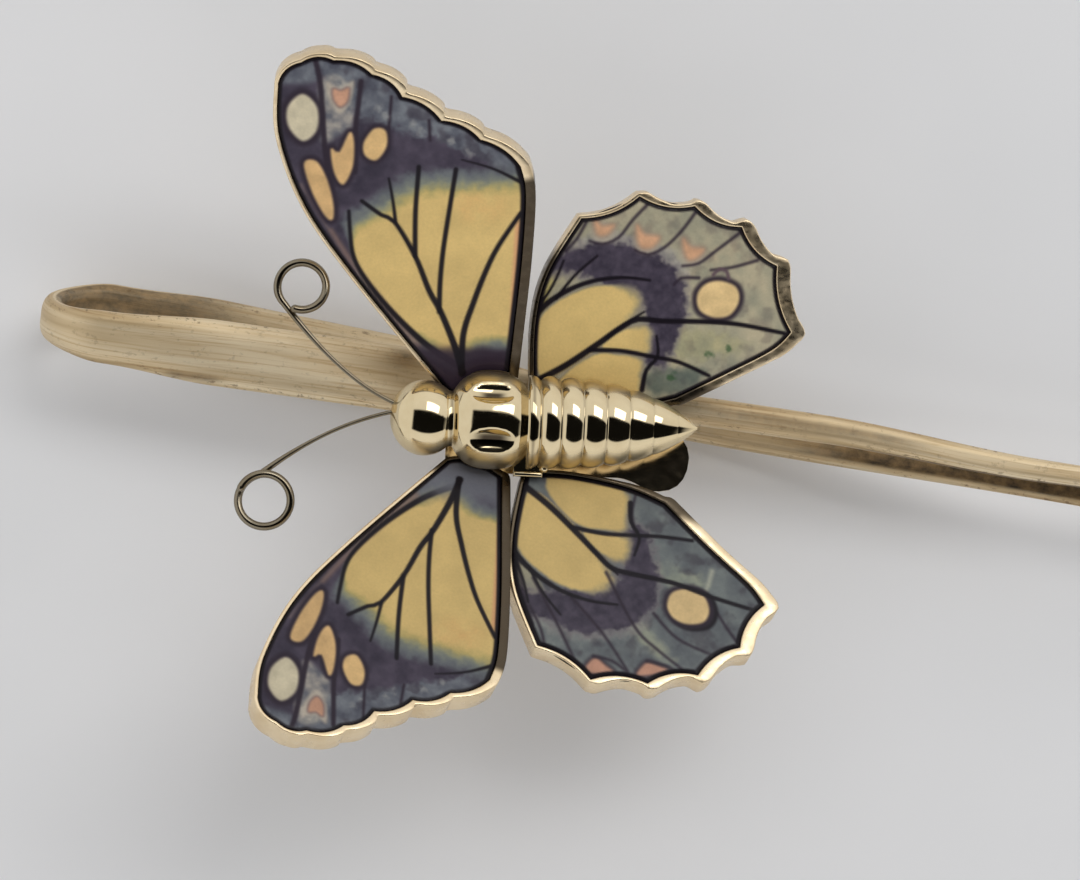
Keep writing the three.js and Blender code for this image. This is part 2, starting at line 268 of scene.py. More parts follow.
def keep_off_body(loop, height, wing, gap):
    """Moves points of a loop outwards along the wing until they are clear of the body."""
    moved = loop.copy()
    for _ in range(240):
        x, y, z = on_wing(moved, height, wing).T
        reach = np.hypot(y - BODY["y"], (z - BODY["z"]) / BODY["height"])
        hit = (reach < body_radius(x) + gap) & (x > BODY["head"] - gap) & (x < BODY["tail"] + gap)
        if not hit.any():
            break
        moved[hit, 1] += 0.02
    return moved


# ---- meshes ----

def add_mesh(name, points_mm, faces, body, nodes, flat_faces=()):
    """A new piece, which rides on a body and stands for CAD nodes. Only its flat faces are shaded flat."""
    mesh = bpy.data.meshes.new(name)
    mesh.from_pydata((np.asarray(points_mm) * MM).tolist(), [], [list(f) for f in faces])
    mesh.validate()
    shade = np.ones(len(mesh.polygons), bool)
    shade[list(flat_faces)] = False
    mesh.polygons.foreach_set("use_smooth", shade)
    made = bpy.data.objects.new(name, mesh)
    bpy.context.scene.collection.objects.link(made)
    if body:
        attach(made, body)
    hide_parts(*nodes)
    return made


def skin(rings):
    """Faces of a closed skin over rings that all have the same number of points."""
    count, rows = len(rings[0]), len(rings)
    j = np.arange(count)
    k = (j + 1) % count
    faces = []
    for i in range(rows - 1):
        low, high = i * count, (i + 1) * count
        faces.extend(np.column_stack([low + j, low + k, high + k, high + j]).tolist())
    faces.append(list(range(count))[::-1])
    faces.append(list(range((rows - 1) * count, rows * count)))
    return faces


def paint(mesh, name, values):
    """Stores one number, or one colour, for each point of a mesh."""
    values = np.asarray(values, np.float32)
    if values.ndim == 1:
        mesh.attributes.new(name, "FLOAT", "POINT").data.foreach_set("value", values)
    else:
        full = np.ones((len(values), 4), np.float32)
        full[:, :3] = values
        mesh.attributes.new(name, "FLOAT_COLOR", "POINT").data.foreach_set("color", full.ravel())


# ---- materials ----

class Nodes:
    """Short names for the few node set-ups that the materials share."""

    def __init__(self, name):
        self.material = bpy.data.materials.new(name)
        self.material.use_nodes = True
        self.tree = self.material.node_tree
        self.shader = self.tree.nodes["Principled BSDF"]

    def link(self, out, into):
        self.tree.links.new(out, into)

    def feed(self, **values):
        """Gives the shader's sockets a node's output or a plain number. Underscores stand for spaces."""
        for name, value in values.items():
            socket = self.shader.inputs[name.replace("_", " ")]
            if isinstance(value, bpy.types.NodeSocket):
                self.link(value, socket)
            else:
                socket.default_value = value

    def attribute(self, name, output="Fac"):
        node = self.tree.nodes.new("ShaderNodeAttribute")
        node.attribute_name = name
        return node.outputs[output]

    def scaled(self, vector, scale):
        mapping = self.tree.nodes.new("ShaderNodeMapping")
        mapping.inputs["Scale"].default_value = scale
        self.link(vector, mapping.inputs["Vector"])
        return mapping.outputs["Vector"]

    def place(self, scale=(1, 1, 1)):
        """Object coordinates in millimetres, stretched by scale."""
        coordinates = self.tree.nodes.new("ShaderNodeTexCoord")
        return self.scaled(coordinates.outputs["Object"], [s / MM for s in scale])

    def strip_place(self, scale):
        """Coordinates along, across and round the strip in millimetres, stretched by scale."""
        return self.scaled(self.attribute("strip", "Vector"), scale)

    def noise(self, vector, scale, detail=3.0, rough=0.55):
        node = self.tree.nodes.new("ShaderNodeTexNoise")
        node.inputs["Scale"].default_value = scale
        node.inputs["Detail"].default_value = detail
        node.inputs["Roughness"].default_value = rough
        self.link(vector, node.inputs["Vector"])
        return node.outputs["Fac"]

    def ramp(self, value, stops):
        node = self.tree.nodes.new("ShaderNodeValToRGB")
        ramp = node.color_ramp
        while len(ramp.elements) < len(stops):
            ramp.elements.new(0.5)
        for element, (place, colour) in zip(ramp.elements, stops):
            element.position = place
            if not hasattr(colour, "__len__"):
                colour = (colour, colour, colour)
            element.color = (*colour, 1)
        self.link(value, node.inputs["Fac"])
        return node.outputs["Color"]

    def blend(self, a, b, factor, mode="MIX"):
        node = self.tree.nodes.new("ShaderNodeMix")
        node.data_type = "RGBA"
        node.blend_type = mode
        sockets = [s for s in node.inputs if s.enabled]
        for socket, value in zip(sockets, (factor, a, b)):
            if isinstance(value, bpy.types.NodeSocket):
                self.link(value, socket)
            elif hasattr(value, "__len__"):
                socket.default_value = (*value, 1)
            else:
                socket.default_value = value
        return [s for s in node.outputs if s.enabled][0]

    def bump(self, height, strength, distance_mm, after=None):
        node = self.tree.nodes.new("ShaderNodeBump")
        node.inputs["Strength"].default_value = strength
        node.inputs["Distance"].default_value = distance_mm * MM
        self.link(height, node.inputs["Height"])
        if after is not None:
            self.link(after, node.inputs["Normal"])
        return node.outputs["Normal"]


BRIGHT_GOLD = (0.90, 0.74, 0.50)
DEEP_GOLD = (0.62, 0.43, 0.21)
# the dark colour of painted shade
PAINTED_SHADE_DARK = (0.035, 0.025, 0.018)
SATIN = (0.36, 0.36, 0.36)


def polished_gold(name, roughness, wear, painted_shade_by=None, tone=BRIGHT_GOLD, metallic=1.0, satin_by=None):
    """Bright plated metal with cloudy wear and soft waviness, darkened by painted shade and satin where it is
    painted so.
    """
    n = Nodes(name)
    clouds = n.noise(n.place(), 0.55, 4.0)
    worn = np.array(tone) * mix(np.ones(3), np.array(DEEP_GOLD) / BRIGHT_GOLD, wear)
    colour = n.ramp(clouds, [(0.3, worn), (0.62, tone)])
    if painted_shade_by:
        # painted shade, wherever the mesh is painted so
        colour = n.blend(colour, PAINTED_SHADE_DARK, n.attribute(painted_shade_by))
    scuffs = n.noise(n.place((1, 1.6, 1)), 1.4, 4.0)
    rough = n.ramp(scuffs, [(0.35, roughness), (0.75, roughness * 2)])
    if satin_by:
        rough = n.blend(rough, SATIN, n.attribute(satin_by))
    waves = n.bump(n.noise(n.place(), 0.9, 1.0), 0.25, 0.03)
    n.feed(Base_Color=colour, Metallic=metallic, Roughness=rough, Normal=waves)
    return n.material


def worn_strip_gold_with_painted_shade():
    """Rubbed pale gold with fine scratches along the strip, brown stains, painted shade and a few dark
    specks.
    """
    n = Nodes("worn_strip_gold_with_painted_shade")
    broad = n.noise(n.strip_place((0.05, 1.0, 1)), 1.0, 3.0, 0.5)
    fine = n.noise(n.strip_place((0.11, 6.0, 1)), 1.0, 4.0, 0.65)
    golds = [(0.30, (0.47, 0.34, 0.18)), (0.46, (0.67, 0.53, 0.33)), (0.66, (0.78, 0.66, 0.46))]
    colour = n.ramp(broad, golds)
    scratches = n.ramp(fine, [(0.34, (0.74, 0.64, 0.50)), (0.50, (1.0, 1.0, 1.0))])
    colour = n.blend(colour, scratches, 0.8, "MULTIPLY")
    specks = n.noise(n.strip_place((0.9, 1.6, 1)), 1.8, 5.0, 0.75)
    marks = n.ramp(specks, [(0.575, 0.0), (0.63, 1.0)])
    wear = n.blend(np.zeros(3), marks, n.attribute("rubbed"))
    colour = n.blend(colour, (0.16, 0.10, 0.05), wear)
    patches = n.noise(n.strip_place((0.8, 1.4, 1)), 1.0, 5.0, 0.7)
    stain_and_shade = n.ramp(patches, [(0.34, (0.03, 0.022, 0.014)), (0.62, (0.24, 0.15, 0.065))])
    # real stains and painted shade share one dark, patchy colour
    colour = n.blend(colour, stain_and_shade, n.attribute("stain_and_painted_shade"))
    rough = n.ramp(fine, [(0.3, 0.60), (0.65, 0.46)])
    grooves = n.bump(broad, 0.3, 0.04, n.bump(fine, 0.25, 0.012))
    n.feed(Base_Color=colour, Metallic=0.6, Roughness=rough, Normal=grooves)
    return n.material


def enamel_gloss():
    """Printed enamel under a thin clear coat, with the grain of the print."""
    n = Nodes("printed_enamel")
    grain = n.ramp(n.noise(n.place(), 5.5, 4.0, 0.7), [(0.3, 0.86), (0.7, 1.0)])
    colour = n.blend(n.attribute("art", "Color"), grain, 0.8, "MULTIPLY")
    rough = n.ramp(n.noise(n.place(), 1.2, 2.0), [(0.3, 0.38), (0.7, 0.5)])
    waves = n.bump(n.noise(n.place(), 0.35, 2.0), 0.3, 0.08)
    n.feed(Base_Color=colour, Roughness=rough, Normal=waves, Specular_IOR_Level=0.1)
    n.feed(Coat_Weight=0.12, Coat_Roughness=0.1, Coat_IOR=1.45)
    return n.material


# ---- the spring strip: one piece of metal bent into both prongs ----

LEAN = math.atan2(PIN["bend_shift"], PIN["bend_drop"])
BEND_RADIUS = math.hypot(PIN["bend_shift"], PIN["bend_drop"]) / 2
BEND_CENTRE = np.array([PIN["bend_x"], PIN["bend_shift"] / 2, -PIN["bend_drop"] / 2])
TIP_ROUND = 0.8


def strip_width(x):
    """Full width of a prong: broad at the bend, narrow in the neck, narrower still at the tip."""
    band = mix(PIN["bend_width"], PIN["band_width"], smooth((x - PIN["bend_x"]) / 8))
    neck = mix(band, PIN["neck_width"], smooth((x + 9) / 23))
    return mix(neck, PIN["tip_width"], smooth((x - 14) / (PIN["tip_x"] - 14)))


def strip_thickness(x):
    return mix(PIN["band_thickness"], PIN["tip_thickness"], smooth((x - 12) / 30))


def upper_prong(x):
    """Centre of the upper prong at a place along the pin."""
    return np.array([
        x,
        0.7 * (smooth((x - 1) / 13) - smooth((x - 22) / 16)),
        -0.9 * smooth((x - 10) / 36) + 0.6 * smooth((x - 46) / 12),
    ])


def lower_prong(x):
    """Centre of the lower prong, which bows away from the upper and comes back to it near the tips."""
    return np.array([
        x,
        PIN["bend_shift"] - PIN["skew"] * (x - PIN["bend_x"]),
        -PIN["bend_drop"]
        - 0.5 * smooth((x - PIN["bend_x"]) / PIN["twist_length"])
        + 5.4 * smooth((x - 9) / 37)
        - 1.1 * smooth((x - 46) / 12),
    ])


def strip_section(centre, along, outward, width, thickness, sides=48):
    """A softened bar with a narrow flat along the crown of each face."""
    angle = (np.arange(sides) + 0.5) * 2 * math.pi / sides
    across = unit(np.cross(outward, along))
    up = unit(np.cross(along, across))
    c, s = np.cos(angle), np.sin(angle)
    sideways = np.sign(c) * np.abs(c) ** 0.75 * 0.975
    high = np.sign(s) * np.minimum(1, np.abs(s / math.sin(math.radians(75))) ** 0.8)
    return (
        centre
        + across * (sideways * width / 2)[:, None]
        + up * (high * thickness / 2)[:, None]
    )


def prong_stations(path, side):
    """Centre, direction, outward side, width and thickness from the bend to the rounded tip."""
    last = PIN["tip_x"] - TIP_ROUND
    places = [(x, 1.0) for x in np.linspace(PIN["bend_x"], last, 230)]
    places += [(last + TIP_ROUND * t, math.sqrt(1 - t * t)) for t in (0.25, 0.45, 0.62, 0.77, 0.89, 0.97)]
    stations = []
    for x, roundness in places:
        roll = LEAN * (1 - smooth((x - PIN["bend_x"]) / PIN["twist_length"]))
        outward = np.array([0, -math.sin(roll), math.cos(roll)]) * side
        along = unit(path(x + 0.05) - path(x - 0.05))
        width, thickness = strip_width(x) * roundness, strip_thickness(x) * roundness
        stations.append((path(x), along, outward, width, thickness))
    return stations


def strip_stations():
    """Stations from the upper tip back round the bend to the lower tip, and which are on the lower prong."""
    upper = prong_stations(upper_prong, 1)
    lower = prong_stations(lower_prong, -1)
    bend = []
    lean_up = np.array([0, -math.sin(LEAN), math.cos(LEAN)])
    for angle in np.linspace(0, math.pi, 92)[1:-1]:
        outward = lean_up * math.cos(angle) + np.array([-math.sin(angle), 0, 0])
        along = -lean_up * math.sin(angle) + np.array([-math.cos(angle), 0, 0])
        width = mix(PIN["bend_width"], PIN["apex_width"], smooth(math.sin(angle)))
        centre = BEND_CENTRE + outward * BEND_RADIUS
        bend.append((centre, along, outward, width, PIN["band_thickness"]))
    backwards = [(c, -a, o, w, t) for c, a, o, w, t in upper[::-1]]
    stations = backwards + bend + lower
    return stations, np.arange(len(stations)) >= len(upper) + len(bend) // 2


def paint_strip(mesh, stations, is_lower, sides):
    """Coordinates along and across the strip and by face, where it is rubbed, and where stains and painted
    shade darken it.
    """
    centres = np.array([station[0] for station in stations])
    widths = np.array([station[3] for station in stations])[:, None]
    run = np.concatenate([[0], np.cumsum(np.linalg.norm(np.diff(centres, axis=0), axis=1))])
    around = (np.arange(sides) + 0.5) * 2 * math.pi / sides
    across = np.cos(around)[None, :] * widths / 2
    face = np.broadcast_to(3.0 * np.sign(np.sin(around))[None, :], across.shape)
    place = np.stack([np.broadcast_to(run[:, None], across.shape), across, face], axis=2)
    attribute = mesh.attributes.new("strip", "FLOAT_VECTOR", "POINT")
    attribute.data.foreach_set("vector", place.reshape(-1, 3).astype(np.float32).ravel())
    edge = np.abs(across) / (widths / 2)
    rubbed = np.clip(0.25 + 0.5 * smooth((edge - 0.55) / 0.4), 0, 1)
    paint(mesh, "rubbed", rubbed.ravel())
    x = centres[:, 0][:, None]
    is_lower = is_lower[:, None]
    inner = (np.sin(around) < -0.1)[None, :] * np.ones_like(across)
    # painted shade inside the bend, a stain beside the butterfly's head and one along the near edge
    bend_painted_shade = inner * is_lower * mix(0.75, 0.15, smooth((x + 24) / 7))
    head_stain = 0.8 * np.exp(-(((x + 7.4) / 1.5) ** 2) - ((across + 1.2) / 0.9) ** 2)
    edge_stain = 0.8 * np.exp(-(((x + 21.8) / 2.0) ** 4) - ((across - 1.75) / 0.3) ** 2)
    # a streak down the neck, and painted shade on the faces where the prongs nearly touch
    neck_streak = 0.5 * smooth((x - 12) / 3) * smooth((31 - x) / 4) * np.exp(-((across / 0.3) ** 2))
    under_edge_painted_shade = 0.85 * smooth((x - 22) / 8) * (across > 0.2 * widths) * (np.sin(around) < 0.35)
    far_part = smooth((0.3 - across / widths) / 0.15)
    under_shade = 0.97 * inner * is_lower * smooth((x - 18) / 10) * far_part
    # the upper prong gets its stains, the painted shade where the prongs touch, and half-dark painted shade
    # on its inner face
    upper_stains_and_shade = ~is_lower * (head_stain + edge_stain + neck_streak + under_edge_painted_shade + inner * 0.5)
    paint(mesh, "stain_and_painted_shade", np.clip(bend_painted_shade + under_shade + upper_stains_and_shade, 0, 0.95).ravel())


def build_strip():
    """The strip is one mesh, from the upper tip round the bend to the lower tip."""
    stations, is_lower = strip_stations()
    rings = [strip_section(*station) for station in stations]
    nodes = ["upper_prong", "lower_prong"]
    strip = add_mesh("spring_strip", from_pin(np.vstack(rings)), skin(rings), None, nodes)
    paint_strip(strip.data, stations, is_lower, len(rings[0]))
    strip.data.materials.append(worn_strip_gold_with_painted_shade())
    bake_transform(strip)


# ---- the butterfly's body ----

HOLLOW = {"x": -1.1, "y": 1.7, "z": 2.3, "tilt": 26, "size": (1.9, 0.85, 0.55)}
# a distance beyond the body, for a ray that never meets a hollow
NEVER = 99.0


def hollow_frame(side):
    """Centre and rotation of one of the two eye-shaped hollows, from the body's axis."""
    tilt = -side * math.radians(HOLLOW["tilt"])
    turn = np.array(Matrix.Rotation(tilt, 3, "X"))
    return np.array([HOLLOW["x"], side * HOLLOW["y"], HOLLOW["z"]]), turn


def rounded_box(low, high, radius):
    """A box with rounded corners and softened upper and lower edges."""
    low, high = np.array(low), np.array(high)
    turn = np.linspace(0, math.pi / 2, 5)
    levels = [(1 - math.sin(t), low[2] + radius * (1 - math.cos(t))) for t in turn]
    levels += [(1 - math.cos(t), high[2] - radius * (1 - math.sin(t))) for t in turn]
    rings = []
    for drawn_in, z in levels:
        ring = []
        for quarter, corner in enumerate(((1, 1), (0, 1), (0, 0), (1, 0))):
            centre = np.where(corner, high[:2] - radius, low[:2] + radius)
            for t in turn + quarter * math.pi / 2:
                outward = np.array([math.cos(t), math.sin(t)])
                ring.append([*(centre + radius * (1 - drawn_in) * outward), z])
        rings.append(np.array(ring))
    return np.vstack(rings), skin(rings)


def ball(centre, radius):
    """A small ball, skinned from rings."""
    turn = np.linspace(0.08, math.pi - 0.08, 16)
    around = np.arange(24) * math.pi / 12
    rings = [
        np.array(centre) + radius * np.column_stack([
            math.sin(t) * np.cos(around), math.sin(t) * np.sin(around), np.full(24, -math.cos(t)),
        ])
        for t in turn
    ]
    return np.vstack(rings), skin(rings)


def tab_shells():
    """The small lipped tab on the near side of the body, with its bead of solder."""
    low_x, high_x = TAB["x"] - TAB["length"] / 2, TAB["x"] + TAB["length"] / 2
    corner = (low_x, TAB["far"], TAB["z"])
    return [
        rounded_box(corner, (high_x, TAB["near"], TAB["z"] + 0.2), 0.04),
        rounded_box(corner, (high_x, TAB["far"] + TAB["lip"], TAB["z"] + 0.42), 0.12),
        ball((high_x + 0.1, TAB["far"] + 0.6, TAB["z"] + 0.3), TAB["bead"]),
    ]


def body_shell(x, around):
    """Points of the body's skin, with the two hollows pressed into it."""
    shape = (len(x), len(around))
    reach = np.broadcast_to(body_radius(x)[:, None], shape).copy()
    rays = np.stack([np.zeros(shape[1]), np.cos(around), np.sin(around) * BODY["height"]], axis=1)
    axis_points = np.stack([x, np.zeros_like(x), np.zeros_like(x)], axis=1)
    for side in (1, -1):
        # distance along each ray from the axis to the ellipsoid that is hollowed out
        centre, turn = hollow_frame(side)
        p = ((axis_points - centre) @ turn) / HOLLOW["size"]
        d = (rays @ turn) / HOLLOW["size"]
        a = (d**2).sum(1)[None, :]
        b = p @ d.T
        inside_root = b**2 - a * ((p**2).sum(1)[:, None] - 1)
        entry = np.where(inside_root > 0, (-b - np.sqrt(np.maximum(inside_root, 0))) / a, NEVER)
        entry = np.where(entry > 0, entry, NEVER)
        reach = -soft_max(-reach, -entry, 0.08)
    y = BODY["y"] + np.cos(around)[None, :] * reach
    z = np.maximum(BODY["z"] + np.sin(around)[None, :] * reach * BODY["height"], BODY["underside"])
    return np.stack([np.broadcast_to(x[:, None], shape), y, z], axis=2)


def body_painted_shade(x, points):
    """Painted shade in the grooves between the rings, at the neck and waist, and in the two hollows."""
    ring, along = abdomen_rings(x)
    groove = smooth((0.5 - ring) / 0.5) * (x > 1.8) * (1 - along)
    groove += smooth(1 - np.abs(x + 3.85) / 0.2) + smooth(1 - np.abs(x - 1.7) / 0.2)
    sides = points.shape[1]
    painted_shade_weight = np.repeat(np.clip(groove * 0.5, 0, 0.7), sides).reshape(len(x), sides)
    for side, long, wide in ((1, 0.42, 0.28), (-1, 0.62, 0.5)):
        centre, turn = hollow_frame(side)
        local = ((points - (0, BODY["y"], BODY["z"]) - centre) @ turn) / HOLLOW["size"]
        above = points[..., 2] > BODY["z"]
        painted_shade_weight += np.exp(-((local[..., 0] / long) ** 4) - (local[..., 1] / wide) ** 4) * above
    return np.clip(painted_shade_weight, 0, 0.95)


def build_body():
    """Head, thorax and ringed abdomen as one casting, with the small tab on its near side."""
    sides = 128
    rounding = np.linspace(0, math.pi / 2, 17)
    nose = BODY["head"] + 0.5 * (1 - np.cos(rounding[1:]))
    tip = BODY["tail"] - 0.5 * (1 - np.cos(rounding[:0:-1]))
    x = np.concatenate([nose, np.linspace(nose[-1], tip[0], 450)[1:-1], tip])
    around = np.arange(sides) * 2 * math.pi / sides
    points = body_shell(x, around)
    shells = [(points.reshape(-1, 3), [face[::-1] for face in skin(points)])]
    shells += tab_shells()
    faces, before = [], 0
    for shell_points, shell_faces in shells:
        faces += [[before + corner for corner in face] for face in shell_faces]
        before += len(shell_points)
    all_points = from_butterfly(np.vstack([shell[0] for shell in shells]))
    nodes = ["butterfly_body"]
    body = add_mesh("butterfly_body_polished", all_points, faces, "upper", nodes)
    clean_tab = np.zeros(before - len(x) * sides)
    # painted shade in the grooves, at the neck and waist, and in the hollows
    paint(body.data, "stain_and_painted_shade", np.concatenate([body_painted_shade(x, points).ravel(), clean_tab]))
    # only the crown is polished bright, and the flanks are satin
    flank = np.tile(smooth((np.abs(np.cos(around)) - 0.62) / 0.2), len(x))
    paint(body.data, "satin", np.concatenate([flank, clean_tab]))
    gold = polished_gold("polished_body_gold", 0.05, 0.25, "stain_and_painted_shade", (0.74, 0.62, 0.40), satin_by="satin")
    body.data.materials.append(gold)


# ---- the trays of the wings ----

def build_tray(name, material):
    """A closed metal tray around the enamel, with a thin lip and a wall that is thicker towards the tail."""
    wing = WINGS[name]
    kind = name.split("_")[0]
    outline = OUTLINES[name]
    normals = outward_normals(outline)
    tailward = np.maximum(0, normals[:, 0])
    width = TRAY["wall"] + TAIL_WALL[kind] * tailward
    lip, depth, floor = TRAY["lip"], TRAY["depth"], TRAY["floor"] - TRAY["depth"]
    # how much of the wall's width lies inside each loop, how far that loop is drawn in, its height
    levels = [
        (1, 0.24, -depth), (1, 0.08, -depth), (1, 0.02, -depth + 0.02), (1, 0.0, -depth + 0.08),
        (1, 0.0, -0.9), (1, 0.0, lip - 0.09), (1, 0.025, lip - 0.03), (1, 0.08, lip),
        (0, -0.09, lip), (0, -0.03, lip - 0.02), (0, 0.0, lip - 0.07), (0, 0.0, floor),
    ]
    rings, painted_shade_weight = [], []
    for share, drawn_in, height in levels:
        offset = share * width - drawn_in
        flat = outline + normals * offset[:, None]
        spare = 0.4 * max(0.0, TRAY["wall"] - offset.min())
        rings.append(on_wing(keep_off_body(flat, height, wing, 0.05 + spare), height, wing))
        # painted shade along the root of the wing, where the body shades the tray
        painted_shade_weight.append(0.92 * smooth((4.7 - flat[:, 1]) / 0.9))
    faces = skin(rings)
    if wing["side"] < 0:
        faces = [face[::-1] for face in faces]
    points = from_butterfly(np.vstack(rings))
    ends = [len(faces) - 2, len(faces) - 1]
    tray = add_mesh(name + "_setting", points, faces, "upper", [name + "_tray"], ends)
    shade = np.array(painted_shade_weight)
    if kind == "forewing":
        # painted shade and dark reflection: the wall facing the hindwing across the narrow gap is painted
        # nearly black, apart from its outer corner
        trailing = smooth((tailward - 0.75) / 0.15) * smooth((18.9 - outline[:, 1]) / 0.5)
        shade = np.maximum(shade, 0.93 * trailing[None, :])
    else:
        # painted shade: the leading walls of the hindwings, across the gap from the forewings, are painted
        # dark from the root to the first tooth
        leading = smooth((-normals[:, 0] - 0.55) / 0.2)
        reach = 13.5 if wing["side"] > 0 else 10.5
        leading = leading * smooth((reach - outline[:, 1]) / 1.5)
        shade = np.maximum(shade, 0.9 * leading[None, :])
    paint(tray.data, "stain_and_painted_shade", shade.ravel())
    tray.data.materials.append(material)


# ---- the artwork on the enamel ----

INK = (20, 16, 22)
OCHRE = (206, 178, 116)
PURPLE = (51, 46, 58)
PLUM = (74, 67, 80)
SLATE = (74, 76, 86)
CREAM = (190, 180, 154)
TAN = (198, 163, 114)
CORAL = (180, 138, 114)
SHADE = (44, 36, 46)


def segment_distance(points, line):
    """Distance from each point to a polyline, and how far along it the nearest place is (0 to 1)."""
    best = np.full(len(points), 1e9)
    where = np.zeros(len(points))
    count = len(line) - 1
    for i in range(count):
        a, d = line[i], line[i + 1] - line[i]
        t = np.clip(((points - a) @ d) / max(d @ d, 1e-12), 0, 1)
        gap = np.hypot(*(points - a - t[:, None] * d).T)
        closer = gap < best
        best[closer] = gap[closer]
        where[closer] = (i + t[closer]) / count
    return best, where


def signed_distance(points, loop):
    """Distance to a closed loop, positive inside it."""
    ring = np.vstack([loop, loop[:1]])
    gap, _ = segment_distance(points, ring)
    inside = np.zeros(len(points), bool)
    for (ax, ay), (bx, by) in zip(ring[:-1], ring[1:]):
        crosses = (ay > points[:, 1]) != (by > points[:, 1])
        at = ax + (points[:, 1] - ay) / (by - ay if by != ay else 1e-12) * (bx - ax)
        inside ^= crosses & (points[:, 0] < at)
    return np.where(inside, gap, -gap)


def within(gap, soft):
    """Weight from 0 to 1 across an edge, for a distance that is positive inside it."""
    return smooth(0.5 + gap / soft)


class Artwork:
    """Colours painted point by point on the enamel of one wing, in the wing's own plane."""

    def __init__(self, points, outline, ground, seed):
        self.points = points
        self.outline = outline
        self.colour = np.tile(np.array(ground, float), (len(points), 1))
        self.random = np.random.RandomState(seed)

    def grain(self, size, octaves=3):
        """Soft random values from 0 to 1, with features of the given size."""
        total, weight = np.zeros(len(self.points)), 0.0
        for k in range(octaves):
            table = self.random.rand(64, 64)
            p = self.points / (size / 2**k) + 17.3
            cell = np.floor(p).astype(int)
            f = smooth(p - cell)
            x0, y0 = cell[:, 0] % 64, cell[:, 1] % 64
            x1, y1 = (x0 + 1) % 64, (y0 + 1) % 64
            low = mix(table[x0, y0], table[x1, y0], f[:, 0])
            high = mix(table[x0, y1], table[x1, y1], f[:, 0])
            total += mix(low, high, f[:, 1]) / 2**k
            weight += 1 / 2**k
        return np.clip((total / weight - 0.5) * 1.6 + 0.5, 0, 1)

    def wash(self, colour, weight):
        """One colour, or one colour for each point, laid over what is there."""
        self.colour += (np.array(colour, float) - self.colour) * np.clip(weight, 0, 1)[:, None]

    def mottled(self, colour, other, weight, size):
        """A wash that wanders between two colours."""
        self.wash(mix(np.array(colour, float), np.array(other, float), self.grain(size)[:, None]), weight)

    def zone(self, loop, soft, ragged=0.0):
        """Weight from 0 to 1 inside a smooth closed loop, with a soft and maybe ragged edge."""
        gap = signed_distance(self.points, closed_curve(loop))
        if ragged:
            gap = gap + (self.grain(0.5) - 0.5) * ragged
        return within(gap, soft)

    def patch(self, colour, other, loop, soft, ragged, strength, size):
        """A mottled patch inside a smooth closed loop."""
        self.mottled(colour, other, self.zone(loop, soft, ragged) * strength, size)

    def stroke(self, line, width, colour, soft, ends=(1.0, 1.0), strength=0.95):
        """A line of ink through the given points, which may thin towards either end."""
        gap, where = segment_distance(self.points, curve_through(line, 0.35))
        half = mix(ends[0], ends[1], where) * width / 2
        self.wash(colour, within(half - gap, soft) * strength)

    def spot(self, loop, colour, rim, rim_colour, soft):
        """A small shape of one colour, with a rim of another round it."""
        gap = signed_distance(self.points, closed_curve(loop))
        if rim:
            self.wash(rim_colour, within(gap + rim, soft * 1.4) * 0.9)
        tone = np.array(colour, float) * (0.94 + 0.12 * self.grain(0.8))[:, None]
        self.wash(tone, within(gap, soft))

    def border(self, width):
        """A line of ink along the edge of the enamel."""
        gap = np.maximum(signed_distance(self.points, self.outline[::3]), 0)
        self.wash(INK, within(width - gap, 0.16))

    def fade(self, gap, width, stops):
        """Bands of colour across an edge: each stop is a colour and where it takes over."""
        level = gap / width + (self.grain(0.4, 2) - 0.5) * 0.2
        for colour, start in stops:
            self.mottled(colour, np.array(colour) * 0.93, smooth((level - start) / 0.55), 1.6)

    def linear(self, gain):
        """The colours as the light they send back, which is what a shader works in."""
        share = np.clip(self.colour / 255 * gain, 0, 1)
        return np.where(share <= 0.04045, share / 12.92, ((share + 0.055) / 1.055) ** 2.4)


# Lines are points with a width and sometimes how much of it is left at each end; spots are a loop, its
# colour, the width and colour of its rim, and its softness.
FOREWING_MARGIN = [
    (-12.2, 24.6), (-10.2, 22.8), (-7.4, 21.9), (-4.6, 21.0), (-2.2, 19.9), (0.6, 19.1), (2, 21), (-8, 29),
    (-12.6, 28),
]
FOREWING_CELL = [
    (-3.6, 5.2), (-5.6, 6.6), (-7.7, 8.5), (-9.6, 10.9), (-10.4, 12.9), (-10.5, 14.8), (-9.5, 15.6),
    (-8.3, 16.5), (-7.0, 17.6), (-5.4, 18.1), (-3.6, 18.2), (-1.8, 18.3), (0.8, 18.5), (2.2, 17), (2.2, 8.0),
    (0.6, 6.9), (-1.6, 6.7),
]
FOREWING_STREAKS = (
    ([(-11.9, 14.6), (-10.4, 12.2), (-8.3, 9.3), (-6.0, 6.4)], 0.6, (132, 106, 94), 0.5, (0.4, 1.0), 0.7),
    ([(-13.9, 17.8), (-12.4, 15.2), (-10.4, 12.1), (-8.3, 9.3)], 0.26, (120, 102, 96), 0.3, (1, 0.4), 0.5),
    ([(-10.75, 16.0), (-10.65, 14.6), (-10.4, 12.8), (-9.6, 11.2), (-8.0, 9.1), (-6.2, 7.2), (-4.8, 6.0),
      (-3.1, 4.9)], 0.4, INK, 0.2, (0.6, 1.2)),
)
FOREWING_DIVIDERS = (
    ([(-13.1, 26.6), (-12.75, 24.9), (-12.5, 21.6), (-12.3, 19.6), (-12.0, 17.6)], 0.36),
    ([(-10.1, 25.2), (-10.25, 23.6), (-10.4, 21.8), (-10.4, 18.8)], 0.34),
    ([(-8.1, 24.2), (-8.2, 22.4), (-8.35, 20.4)], 0.2),
    ([(-5.6, 22.6), (-5.5, 21.2)], 0.2),
)
